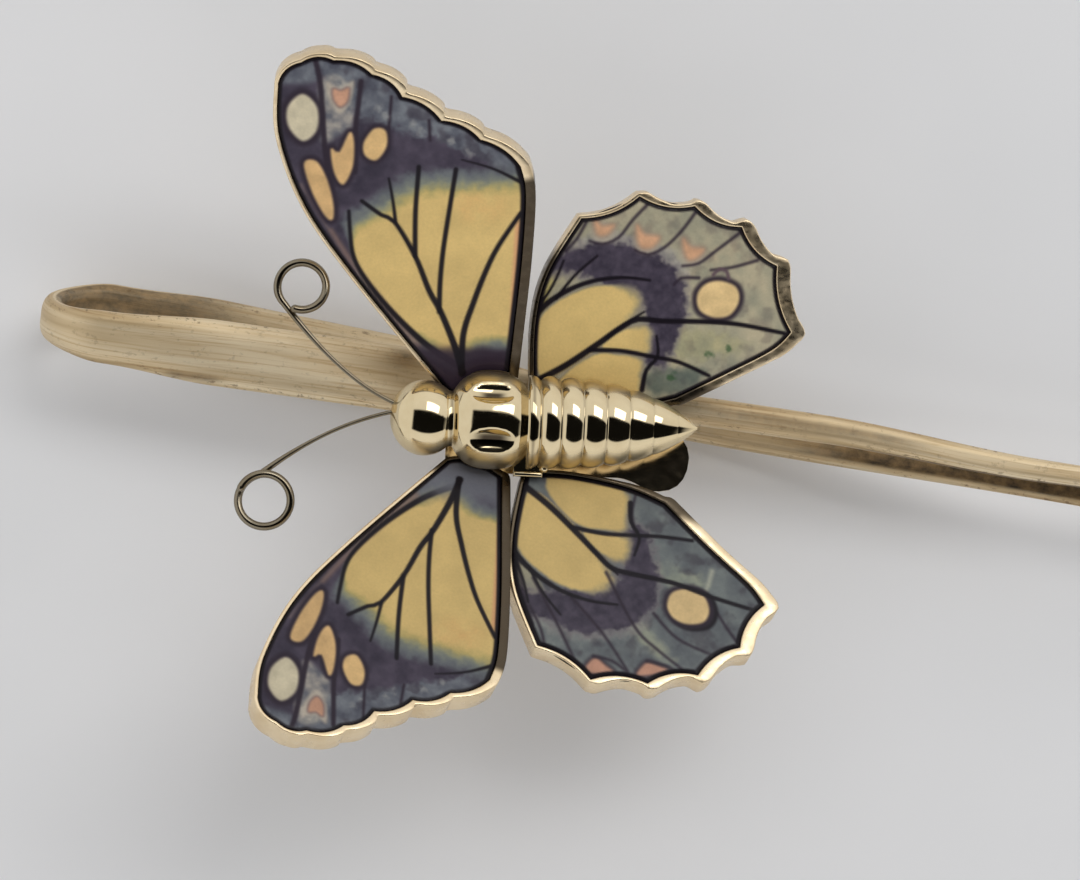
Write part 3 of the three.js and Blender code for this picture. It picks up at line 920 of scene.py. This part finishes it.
# the cream oval, three orange spots, and a pale bowl with a coral crescent in it
FOREWING_SPOTS = (
    ([(-13.9, 24.2), (-12.95, 23.3), (-12.95, 21.7), (-13.85, 20.9), (-14.8, 21.9), (-14.85, 23.3)],
     CREAM, 0.4, SHADE, 0.3),
    ([(-13.75, 19.3), (-12.95, 19.5), (-12.25, 18.3), (-11.8, 16.6), (-11.8, 15.4), (-12.3, 15.6),
      (-13.2, 17.3)], TAN, 0.32, SHADE, 0.26),
    ([(-12.0, 20.4), (-11.45, 20.2), (-10.8, 21.6), (-10.5, 21.0), (-10.55, 19.2), (-11.15, 17.9),
      (-11.75, 18.7)], TAN, 0.30, SHADE, 0.26),
    ([(-9.85, 20.9), (-9.2, 21.9), (-8.45, 21.8), (-8.35, 20.7), (-9.0, 19.7), (-9.75, 20.0)],
     (204, 170, 118), 0.30, SHADE, 0.26),
    ([(-12.35, 25.1), (-11.5, 24.7), (-10.6, 25.2), (-10.8, 23.8), (-11.45, 22.9), (-12.15, 23.8)],
     (170, 160, 146), 0.0, SHADE, 0.4),
    ([(-11.9, 24.6), (-11.4, 24.5), (-10.9, 24.7), (-11.0, 23.8), (-11.45, 23.4), (-11.85, 23.9)],
     CORAL, 0.1, (104, 84, 84), 0.26),
)
FOREWING_FLECKS = ((-8.9, 23.4), (-6.7, 22.3), (-4.1, 21.2), (-2.9, 20.4), (-8.4, 22.9), (-6.2, 21.8))
FOREWING_VEINS = (
    ([(-9.9, 16.75), (-8.6, 15.8), (-7.7, 15.3), (-6.3, 12.9), (-5.3, 10.4), (-4.5, 8.9), (-3.5, 6.4),
      (-2.9, 4.4)], 0.34, (0.8, 1.4)),
    ([(-8.15, 18.4), (-7.85, 16.8), (-7.65, 15.3)], 0.27, (0.6, 1.0)),
    ([(-6.2, 19.3), (-6.35, 16.0), (-6.3, 12.9)], 0.34, (0.9, 1.0)),
    ([(-3.75, 19.2), (-4.1, 16.4), (-4.45, 13.4), (-4.6, 11.0), (-4.6, 8.9)], 0.34, (0.9, 1.0)),
    ([(0.6, 16.2), (-0.8, 13.8), (-1.6, 11.9), (-2.35, 9.6), (-2.95, 7.3), (-3.0, 4.4)], 0.34, (0.9, 1.3)),
    ([(-3.4, 19.9), (-2.2, 19.6), (-1.0, 19.2), (0.6, 18.4)], 0.28, (0.3, 1.0)),
)


def paint_forewing(art, upper):
    """Ochre cells on a dark band, a slate tip with a cream oval, and three orange spots."""
    u, v = art.points.T
    art.mottled(PURPLE, PLUM, np.ones(len(u)), 0.9)
    # slate beyond the dark band and in the corner of the tip, with dark blotches
    margin = art.zone(FOREWING_MARGIN, 0.7, 0.7)
    corner = art.zone([(-16, 25.1), (-14.4, 24.9), (-12.8, 25.3), (-12.8, 27), (-17, 27)], 0.6)
    art.mottled(SLATE, (110, 114, 120), np.maximum(margin, corner), 0.7)
    art.wash(SHADE, smooth((art.grain(0.9) - 0.5) / 0.4) * margin * 0.4)
    # the dark band passes through blue-green and olive into the yellow cells
    gap = signed_distance(art.points, closed_curve(FOREWING_CELL))
    width = mix(0.35, 1.7, smooth((v - 13.5) / 2.5)) + 1.0 * smooth((8.0 - v) / 1.2)
    bands = (((98, 102, 106), -0.85), ((126, 130, 116), -0.45), ((172, 158, 102), -0.15), (OCHRE, 0.15))
    art.fade(gap, width, bands)
    warm = art.zone([(-3.6, 17.6), (-1, 17.8), (-0.4, 16), (-3, 15.6)], 1.6)
    art.mottled((206, 160, 104), OCHRE, smooth(gap / width) * warm * 0.5, 0.7)
    # a coral stripe along the trailing edge, and tan streaks along the leading one
    stripe = smooth((u - (-0.22 + 0.022 * v)) / 0.3) * smooth((16.5 - v) / 1.5) * smooth((v - 5.5) / 2)
    art.wash((200, 148, 108), stripe * 0.85)
    for streak in FOREWING_STREAKS:
        art.stroke(*streak)
    # the root is plum on the upper wing, and a longer slate on the lower one
    root_tone, spread, reach = ((48, 38, 50), 0.3, 0.9) if upper else ((108, 110, 118), 0.7, 2.2)
    art.wash(root_tone, smooth((6.6 + spread * art.grain(1.2) - v) / reach) * 0.92)
    # a pale wedge between the two dividing lines near the tip
    wedge = [(-12.7, 21), (-12.9, 24.6), (-12, 25.6), (-10.9, 24.8), (-10.6, 22.2), (-11.4, 21.4)]
    art.patch((98, 100, 106), (182, 174, 158), wedge, 0.5, 0.0, 0.85, 0.6)
    for line, width in FOREWING_DIVIDERS:
        art.stroke(line, width, SHADE, 0.22)
    for spot in FOREWING_SPOTS:
        art.spot(*spot)
    # pale flecks on the slate
    for at in FOREWING_FLECKS:
        away = np.hypot(u - at[0], v - at[1]) + (art.grain(0.3) - 0.5) * 0.4
        art.wash((150, 150, 146), smooth((0.4 - away) / 0.5) * 0.6)
    for line, width, ends in FOREWING_VEINS:
        art.stroke(line, width, INK, 0.16, ends)
    art.border(0.26)
    art.stroke([(0.1, 3.5), (0.45, 8), (0.8, 13), (0.9, 17.5), (0.5, 19.5)], 0.7, INK, 0.2)


# Patches are two colours, a loop, its softness and raggedness, a strength and the size of the mottling.
UPPER_PATCHES = (
    ((168, 160, 124), (140, 138, 112), [(10.8, 7.9), (14.6, 7.9), (16, 7), (13, 6), (11, 6)],
     1.4, 0.8, 0.9, 0.8),
    ((170, 158, 132), (146, 144, 124), [(11.2, 10.4), (11.4, 12.2), (14.2, 14.2), (15.8, 13.2), (13, 12.2)],
     0.8, 0.5, 0.85, 0.6),
    ((84, 92, 86), (104, 110, 98), [(9.9, 5.2), (13.4, 5.2), (13.2, 4.4), (11.2, 3.4), (9.6, 3.8)],
     0.7, 0.4, 0.9, 0.7),
)
LOWER_PATCHES = (
    ((146, 150, 130), (112, 118, 112), [(10.4, 7.6), (15, 8.2), (14.8, 9.2), (11.6, 9.2), (10.8, 8.4)],
     0.9, 0.6, 0.8, 0.7),
    ((148, 150, 128), (120, 124, 116), [(9.9, 11.9), (11, 12.2), (13.6, 14.4), (12.6, 14.6), (10.4, 13.1)],
     0.7, 0.4, 0.8, 0.7),
)
GREEN_FLECKS = (((13.9, 6.4), 0.5), ((15.2, 6.9), 0.4), ((11.3, 4.6), 0.5))
# each cell, where along the wing its edge starts to soften, and how soft it gets
HINDWING_CELLS = (
    ([(1.55, 6.9), (2.1, 8.5), (3.5, 9.65), (5.4, 10.5), (7.1, 10.55), (8.4, 9.9), (8.35, 9.0), (6.8, 7.0),
      (4.9, 5.4), (2.9, 4.05), (2.0, 4.3)], 6.4, 1.2),
    ([(3.4, 3.6), (5.6, 5.7), (7.4, 5.9), (9.0, 5.7), (9.1, 4.6), (8.9, 3.0), (7, 1.2), (4, 1.4)], 7.6, 0.7),
    ([(6.3, 6.4), (7.6, 7.6), (9.2, 7.9), (9.5, 6.9), (9.3, 6.2), (7.8, 6.2)], 7.6, 0.9),
)
PURPLE_ARC = [
    (2.6, 11.9), (4.3, 12.2), (6.4, 12.15), (8.5, 11.75), (10.0, 10.8), (10.5, 9.3), (10.3, 7.6), (10.0, 6.2),
]
UPPER_CRESCENTS = (
    [(5.0, 15.1), (5.6, 14.7), (6.4, 14.8), (6.0, 14.15), (5.3, 14.1)],
    [(8.0, 14.9), (8.6, 14.35), (9.6, 14.2), (9.2, 13.5), (8.5, 13.4), (8.1, 13.9)],
    [(11.3, 14.2), (11.9, 13.7), (12.8, 13.6), (12.4, 13.0), (11.8, 12.8), (11.4, 13.4)],
)
LOWER_CRESCENTS = (
    [(7.5, 16.3), (8.1, 15.3), (8.9, 15.7), (9.5, 16.1), (8.6, 16.4)],
    [(11.1, 16.0), (11.7, 15.0), (12.5, 15.1), (13.2, 15.3), (12.2, 15.8)],
)
UPPER_RAYS = (
    [(8.8, 16.6), (7.7, 15.3), (6.8, 14.0), (5.7, 13.45), (4.8, 13.6)],
    [(12.0, 16.1), (11.1, 14.7), (10.0, 13.5), (8.9, 12.95), (8.0, 13.2)],
    [(15.2, 14.9), (13.7, 13.6), (12.5, 12.6), (11.4, 12.35)],
    [(4.6, 15.2), (3.9, 13.7), (3.2, 12.8)],
    [(16.6, 13.1), (14.9, 12.5), (13.4, 12.2)],
    [(12.6, 11.6), (11.4, 11.5), (10.9, 11.0)],
)
LOWER_RAYS = (
    [(7.4, 16.8), (5.2, 13.2), (3.2, 10.3)],
    [(6.0, 11.2), (8.4, 13.4), (10.5, 15.9)],
    [(8.2, 9.0), (10.6, 12.6), (12.4, 14.0), (14.6, 15.3)],
    [(11.8, 11.4), (13.6, 12.9), (16.2, 13.7)],
    [(2.0, 9.2), (2.8, 11.8), (3.6, 13.6)],
    [(8.0, 15.2), (9.3, 15.3), (10.4, 15.9)],
    [(11.7, 14.9), (13.0, 15.0), (14.4, 15.5)],
    [(4.6, 15.2), (4.2, 13.9), (3.2, 12.3)],
    [(17.9, 12.6), (16.9, 11.5), (16.2, 10.6)],
    [(9.9, 5.7), (9.5, 4.4), (9.6, 2.9)],
)
EYE_SPOT = np.array([
    (14.1, 11.5), (15.25, 11.15), (15.55, 10.2), (15.0, 9.2), (13.9, 8.95), (12.85, 9.4), (12.6, 10.4),
    (13.1, 11.2),
])


def paint_hindwing_ground(art, upper):
    """Sage on the upper hindwing and slate on the lower, with paler and darker patches."""
    u, v = art.points.T
    every = np.ones(len(u))
    if upper:
        art.mottled((138, 136, 118), (172, 162, 136), every, 1.2)
        for patch in UPPER_PATCHES:
            art.patch(*patch)
        for at, size in GREEN_FLECKS:
            away = np.hypot(u - at[0], (v - at[1]) * 1.5) + (art.grain(0.4) - 0.5) * 0.6
            art.wash((52, 78, 50), smooth((size - away) / 0.4) * 0.7)
    else:
        art.mottled((84, 88, 92), (112, 118, 116), every, 1.1)
        for patch in LOWER_PATCHES:
            art.patch(*patch)
        pale_line = [(15.5, 7.6), (15.2, 9.1), (14.4, 9.5), (13.0, 9.1), (11.6, 8.6)]
        art.stroke(pale_line, 0.34, (168, 168, 150), 0.4, (1, 0.3), 0.75)
    art.wash(SHADE, smooth((art.grain(0.9) - 0.5) / 0.5) * (0.2 if upper else 0.35))
    # slivers along the leading side
    sliver = [(1.2, 6.4), (1.5, 8.6), (2.4, 11), (3.0, 11.4), (2.4, 9.6)]
    art.patch((176, 160, 92), (186, 170, 104), sliver, 0.4, 0.0, 0.95 if upper else 0.4, 0.8)
    sliver = [(2.2, 9.4), (3.0, 11.9), (4.2, 11.9), (3.8, 10.6)]
    art.patch((164, 156, 126), (136, 132, 118), sliver, 0.4, 0.0, 0.85, 0.8)
    # a pale line of bowls between the purple and the crescents
    bowls = [(3.2, 13.0), (5.5, 14.3), (8.8, 13.8), (11, 13.1), (11.8, 11.6), (9, 12.8), (6, 13.2)]
    art.patch((164, 158, 148), (112, 112, 112), bowls, 0.6, 0.5, 0.8 if upper else 0.35, 0.5)


def paint_hindwing(art, upper):
    """Yellow cells by the body, a dark purple arc, an eye spot and coral crescents at the teeth."""
    u, v = art.points.T
    paint_hindwing_ground(art, upper)
    # the purple arc reaches the yellow cells through a greyish edge
    gap, where = segment_distance(art.points, curve_through(PURPLE_ARC, 0.3))
    half = mix(0.65, 1.5, smooth(where / 0.35)) * mix(1.0, 0.6, smooth((where - 0.65) / 0.35))
    stipple = (art.grain(0.35, 2) - 0.5) * 0.45
    art.wash((112, 106, 108), within(half + 0.35 + stipple - gap, 0.6) * 0.7)
    art.mottled(PURPLE, PLUM, within(half + stipple - gap, 0.45) * 0.96, 0.5)
    for cell, sharp_until, softest in HINDWING_CELLS:
        gap = signed_distance(art.points, closed_curve(cell))
        width = mix(0.3, softest, smooth((u - sharp_until) / 1.6))
        art.fade(gap, width, (((132, 124, 110), -0.6), ((176, 158, 112), -0.35), (OCHRE, -0.1)))
    # crescents in pale bowls, and the dark rays that run to the teeth between them
    if upper:
        for crescent in UPPER_CRESCENTS:
            low = np.array(crescent).mean(0) + np.array([0.05, -0.35])
            away = np.hypot(u - low[0], (v - low[1]) * 1.2)
            art.wash((176, 166, 148), smooth((1.15 - away) / 0.6) * 0.8)
            art.spot(crescent, (192, 150, 118), 0.14, (136, 118, 104), 0.5)
    else:
        for crescent in LOWER_CRESCENTS:
            art.spot(crescent, (176, 132, 110), 0.2, SHADE, 0.34)
    for line in UPPER_RAYS if upper else LOWER_RAYS:
        art.stroke(line, 0.26, SHADE, 0.24, (0.9, 0.7), 0.85)
    # the eye spot, with a shadow beside it on the lower wing and a brow on the upper one
    eye = EYE_SPOT
    if not upper:
        eye = eye + (0.05, 0.25)
        art.spot(eye + (0.3, 0.12), SHADE, 0.34, INK, 0.2)
    art.spot(eye, (208, 180, 130), 0.34, SHADE, 0.28)
    if upper:
        art.stroke([(13.6, 11.9), (14.0, 12.3), (14.5, 12.2), (14.7, 11.7)], 0.24, (90, 74, 80), 0.2)
    # the veins spread a little farther on the lower wing
    lift = 0.0 if upper else 0.35
    veins = (
        ([(1.7, 3.6), (3.8, 4.9), (6.0, 6.6), (7.4, 7.75), (8.6, 8.45 + lift / 2), (10.3, 8.45 + lift),
          (13.0, 8.6 + lift), (15.6, 8.6 + 2.5 * lift), (18.9, 8.2 + 5 * lift)], 0.34, (1.4, 0.8)),
        ([(5.4, 6.1), (7.6, 6.2), (9.8, 5.95), (11.7, 5.7), (13.9, 4.9 + 2 * lift)], 0.32, (1.0, 0.8)),
        ([(1.1, 7.4), (1.9, 8.8), (3.4, 10.0), (5.2, 10.85), (7.3, 11.25), (9.2, 11.2)], 0.34, (1.4, 0.5)),
        ([(1.5, 8.6), (2.5, 10.4), (3.1, 12.1)], 0.24, (1.0, 0.6)),
        ([(2.8, 9.5), (4.0, 11.2), (5.4, 12.6)], 0.24, (1.0, 0.6)),
        ([(9.3, 3.6), (9.5, 5.0), (10.2, 6.0), (10.0, 7.4)], 0.3, (1.2, 0.5)),
        ([(6.6, 7.1), (7.7, 8.05), (9.0, 9.0)], 0.28, (1.0, 0.5)),
    )
    for line, width, ends in veins:
        art.stroke(line, width, INK, 0.16, ends)
    art.border(0.26 if upper else 0.34)


# painted light: each picture is brightened, and the pictures on the upper wings most, because those wings
# tilt away from the lamp
PAINTED_LIGHT_GAIN = {
    "forewing_upper": 1.16, "forewing_lower": 1.03, "hindwing_upper": 1.13, "hindwing_lower": 1.04,
}
# spacing of the points that carry the picture
ENAMEL_GRID = 0.105


def build_enamel(name, material, seed):
    """The enamel in a tray: a fine grid of points that carries the picture, with a skirt down its edge."""
    wing = WINGS[name]
    outline = OUTLINES[name]
    normals = outward_normals(outline, 2)
    inset = 0.02 + TRAY["fit"]
    bottom = TRAY["floor"] - TRAY["depth"] + TRAY["fit"]
    rim = keep_off_body(outline - normals * inset, 0.0, wing, 0.23)
    low, high = rim.min(0), rim.max(0)
    columns = np.arange(low[0] + ENAMEL_GRID / 2, high[0], ENAMEL_GRID)
    rows = np.arange(low[1] + ENAMEL_GRID / 2, high[1], ENAMEL_GRID * 0.866)
    u, v = np.meshgrid(columns, rows)
    u = u + (np.arange(len(rows)) % 2)[:, None] * ENAMEL_GRID / 2
    inner = np.column_stack([u.ravel(), v.ravel()])
    inner = inner[signed_distance(inner, rim[::2]) > ENAMEL_GRID * 0.8]
    flat = [Vector(p) for p in np.vstack([rim, inner])]
    points, _, faces, *_ = delaunay_2d_cdt(flat, [], [list(range(len(rim)))], 1, 1e-7, False)
    points = np.array([tuple(p) for p in points])
    edge_gap = np.maximum(signed_distance(points, rim[::2]), 0)
    height = -0.07 * (1 - smooth(edge_gap / 0.5)) ** 2 - 0.01
    height[: len(rim)] = -0.085
    top = on_wing(points, height, wing)
    wall = outline - normals * (inset - 0.02)
    skirt = [on_wing(keep_off_body(wall, h, wing, 0.25), h, wing) for h in (-0.16, bottom)]
    count, base = len(rim), len(points)
    ring = list(range(count))
    faces = [list(f) for f in faces]
    for start_a, start_b in ((0, base), (base, base + count)):
        for i in ring:
            k = (i + 1) % count
            faces.append([start_a + k, start_a + i, start_b + i, start_b + k])
    faces.append([base + count + i for i in ring][::-1])
    if wing["side"] < 0:
        faces = [face[::-1] for face in faces]
    solid = from_butterfly(np.vstack([top, *skirt]))
    underside = [len(faces) - 1]
    enamel = add_mesh(name + "_picture", solid, faces, "upper", [name + "_enamel"], underside)
    art = Artwork(points, outline, OCHRE, seed)
    paint_picture = paint_forewing if name.startswith("fore") else paint_hindwing
    paint_picture(art, wing["side"] > 0)
    edge_colour = np.tile([[0.008, 0.007, 0.01]], (2 * count, 1))
    paint(enamel.data, "art", np.vstack([art.linear(PAINTED_LIGHT_GAIN[name]), edge_colour]))
    enamel.data.materials.append(material)


# ---- the antennae ----

def quadratic(a, b, c, t):
    """Points of the arc from a to c that leans towards b."""
    t = t[:, None]
    return (1 - t) ** 2 * np.array(a) + 2 * t * (1 - t) * np.array(b) + t**2 * np.array(c)


def tube(points, radii, sides=20):
    """Rings of a round wire along a path, carried along it without twisting."""
    along = unit(np.gradient(points, axis=0))
    side = unit(np.cross(along[0], [0, 0, 1.0]))
    rings = []
    for p, a, r in zip(points, along, radii):
        side = unit(side - a * (side @ a))
        other = np.cross(a, side)
        angle = np.arange(sides) * 2 * math.pi / sides
        rings.append(p + r * (np.cos(angle)[:, None] * side + np.sin(angle)[:, None] * other))
    return rings


def build_antenna(name, reach, eye, radius, from_angle, turn_by, material):
    """One wire: a stalk that leaves the head and bends towards reach, then a coil round the eye."""
    def on_eye(part):
        angle = np.radians(from_angle + turn_by * part)
        climb = WIRE["pitch"] * part * abs(turn_by / 360) * smooth(part * 3)
        return np.column_stack([
            eye[0] + radius * np.cos(angle), eye[1] + radius * np.sin(angle), eye[2] + climb,
        ])

    start = (WIRE["start_x"], WIRE["start_y"], BODY["z"] + 0.2)
    stalk = quadratic(start, reach, on_eye(np.zeros(1))[0], np.linspace(0, 1, 90, endpoint=False))
    path = np.vstack([stalk, on_eye(np.linspace(0, 1, 190))])
    share = np.arange(len(path)) / 90
    radii = mix(WIRE["stalk"], WIRE["coil"], smooth((share - 0.55) / 0.7))
    radii[-5:] *= np.sqrt(1 - np.linspace(0.2, 0.95, 5) ** 2)
    rings = tube(path, radii)
    points = from_butterfly(np.vstack(rings))
    wire = add_mesh(name + "_wire", points, skin(rings), "upper", [name])
    wire.data.materials.append(material)


# ---- everything that belongs to the object ----

setting_gold = polished_gold("cast_setting_gold", 0.24, 0.4, "stain_and_painted_shade")
rim_painted_highlight_gold = polished_gold("bridge_rim_painted_highlight", 0.45, 0.3, metallic=0.3)
bridge_gold = polished_gold("polished_bridge_gold", 0.07, 0.3)
# the wire's tone is darkened as a painted dark reflection, standing in for the dark room that the polished
# wire mirrors
wire_gold = polished_gold("drawn_wire_gold", 0.12, 0.5, tone=(0.26, 0.225, 0.165))
print_gloss = enamel_gloss()

build_strip()
build_body()
for index, wing_name in enumerate(WINGS):
    build_tray(wing_name, setting_gold)
    build_enamel(wing_name, print_gloss, 11 + index)
build_antenna("antenna_upper", (-10.8, 2.2, 2.9), (-14.35, 9.2, 3.1), 1.65, 226, -340, wire_gold)
build_antenna("antenna_lower", (-11.8, 0.3, 2.9), (-16.35, -5.55, 3.1), 1.78, 104, 420, wire_gold)
for node in ("wing_bridge", "mount_saddle"):
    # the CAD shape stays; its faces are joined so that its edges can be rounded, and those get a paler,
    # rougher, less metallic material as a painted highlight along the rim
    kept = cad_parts[node]
    kept.data.materials.clear()
    kept.data.materials.append(bridge_gold)
    kept.data.materials.append(rim_painted_highlight_gold)
    joining = kept.modifiers.new("join_faces", "WELD")
    joining.merge_threshold = 0.001 * MM
    rounding = kept.modifiers.new("soft_edges", "BEVEL")
    rounding.width = 0.2 * MM
    rounding.segments = 3
    rounding.material = 1
    rounding.limit_method = "ANGLE"


# ---- floor, light and camera ----

FLOOR_HALF = 1.5
LAMP = {"length": 0.60, "breadth": 0.30, "distance": 0.85, "lean": 27.0, "tailward": 0.33, "watts": 1.4}
FILL = {"size": 1.4, "distance": 1.2, "watts": 2.9}
ROOM_STRENGTH = 1.1
# brightness of the room by direction, from the near horizon (0) over the top (0.5) to the far one (1)
ROOM_STOPS = (
    (0.0, 0.70), (0.16, 0.85), (0.275, 0.80), (0.297, 0.006), (0.576, 0.005), (0.60, 0.80),
    (0.82, 0.85), (1.0, 0.75),
)
# where the dark band overhead fades out, towards the tail and the head
BAND_END = {"from": 0.50, "to": 0.60, "tailward": 0.6, "headward": -1.0, "beyond": (0.8, 0.8, 0.8, 1)}
CAMERA = {
    "distance": 292.3, "pitch": -6.567, "yaw": 4.207, "roll": -1.757, "aim": (2.476, -0.406), "lens": 141.3,
}


def build_floor():
    """A pale matt table top under the part."""
    mesh = bpy.data.meshes.new("table_top")
    corners = [(x * FLOOR_HALF, y * FLOOR_HALF, 0) for x, y in ((-1, -1), (1, -1), (1, 1), (-1, 1))]
    mesh.from_pydata(corners, [], [(0, 1, 2, 3)])
    floor = bpy.data.objects.new("table_top", mesh)
    bpy.context.scene.collection.objects.link(floor)
    n = Nodes("pale_table")
    greys = [(0.3, (0.74, 0.745, 0.755)), (0.7, (0.80, 0.80, 0.81))]
    tone = n.ramp(n.noise(n.place(), 0.02, 3.0), greys)
    grain = n.bump(n.noise(n.place(), 1.2, 3.0), 0.1, 0.03)
    n.feed(Base_Color=tone, Roughness=0.6, Specular_IOR_Level=0.2, Normal=grain)
    mesh.materials.append(n.material)
    # the lower prong lies on the table, so the table stays with it when the prongs spread
    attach(floor, "lower")


def build_room():
    """A pale room with a dark band overhead, along the pin, which makes the black bars on the body."""
    scene = bpy.context.scene
    scene.world = bpy.data.worlds.new("studio")
    scene.world.use_nodes = True
    tree = scene.world.node_tree
    background = tree.nodes["Background"]
    coordinates = tree.nodes.new("ShaderNodeTexCoord")
    split = tree.nodes.new("ShaderNodeSeparateXYZ")
    tree.links.new(coordinates.outputs["Generated"], split.inputs["Vector"])

    def math_node(operation, a, b):
        node = tree.nodes.new("ShaderNodeMath")
        node.operation = operation
        for socket, value in zip(node.inputs, (a, b)):
            if isinstance(value, bpy.types.NodeSocket):
                tree.links.new(value, socket)
            else:
                socket.default_value = value
        return node.outputs["Value"]

    tilt = math_node("ARCTAN2", split.outputs["Y"], split.outputs["Z"])
    across = math_node("ADD", math_node("DIVIDE", tilt, math.pi), 0.5)
    ramp = tree.nodes.new("ShaderNodeValToRGB")
    while len(ramp.color_ramp.elements) < len(ROOM_STOPS):
        ramp.color_ramp.elements.new(0.5)
    for element, (place, value) in zip(ramp.color_ramp.elements, ROOM_STOPS):
        element.position = place
        element.color = (value, value, value * 1.01, 1)
    tree.links.new(across, ramp.inputs["Fac"])
    ends = tree.nodes.new("ShaderNodeMapRange")
    ends.interpolation_type = "SMOOTHSTEP"
    ends.inputs["From Min"].default_value = BAND_END["from"]
    ends.inputs["From Max"].default_value = BAND_END["to"]
    toward_tail = math_node("MULTIPLY", split.outputs["X"], BAND_END["tailward"])
    toward_head = math_node("MULTIPLY", split.outputs["X"], BAND_END["headward"])
    tree.links.new(math_node("MAXIMUM", toward_tail, toward_head), ends.inputs["Value"])
    shade = tree.nodes.new("ShaderNodeMix")
    shade.data_type = "RGBA"
    shade.inputs[7].default_value = BAND_END["beyond"]
    tree.links.new(ends.outputs["Result"], shade.inputs[0])
    tree.links.new(ramp.outputs["Color"], shade.inputs[6])
    tree.links.new(shade.outputs[2], background.inputs["Color"])
    background.inputs["Strength"].default_value = ROOM_STRENGTH


def add_lamp(name, length, breadth, watts, place):
    """A soft rectangular lamp that shines straight down."""
    data = bpy.data.lights.new(name, "AREA")
    data.shape = "RECTANGLE"
    data.size, data.size_y = length, breadth
    data.energy = watts
    lamp = bpy.data.objects.new(name, data)
    lamp.location = place
    bpy.context.scene.collection.objects.link(lamp)
    return lamp


def build_lamps():
    """A long soft lamp on the far side of the pin, whose reflection is the white spots on the body."""
    lean = math.radians(LAMP["lean"])
    place = (LAMP["tailward"], LAMP["distance"] * math.sin(lean), LAMP["distance"] * math.cos(lean))
    lamp = add_lamp("soft_lamp", LAMP["length"], LAMP["breadth"], LAMP["watts"], place)
    lamp.data.color = (1.0, 0.985, 0.96)
    lamp.rotation_euler = Euler((-lean, 0, 0))
    # an even fill from overhead lights the matt surfaces without a reflection of its own
    fill = add_lamp("overhead_fill", FILL["size"], FILL["size"], FILL["watts"], (0, 0, FILL["distance"]))
    fill.visible_glossy = False


def build_camera():
    """The camera looks almost straight down on the butterfly, from a little behind its tail."""
    axes = np.array(
        Matrix.Rotation(math.radians(CAMERA["roll"]), 3, "Z")
        @ Matrix.Rotation(math.radians(CAMERA["pitch"]), 3, "X")
        @ Matrix.Rotation(math.radians(CAMERA["yaw"]), 3, "Y")
    )
    place = axes.T @ np.array([*CAMERA["aim"], CAMERA["distance"]])
    data = bpy.data.cameras.new("camera")
    data.lens = CAMERA["lens"]
    data.sensor_width = 36.0
    data.clip_start, data.clip_end = 0.01, 10.0
    camera = bpy.data.objects.new("camera", data)
    bpy.context.scene.collection.objects.link(camera)
    turned = Matrix.Rotation(BUTTERFLY_TURN, 3, "Z") @ Matrix(axes.T.tolist())
    camera.matrix_world = Matrix.Translation(from_butterfly(place) * MM) @ turned.to_4x4()
    bpy.context.scene.camera = camera


build_floor()
build_room()
build_lamps()
build_camera()
bpy.context.scene.view_settings.view_transform = "Standard"
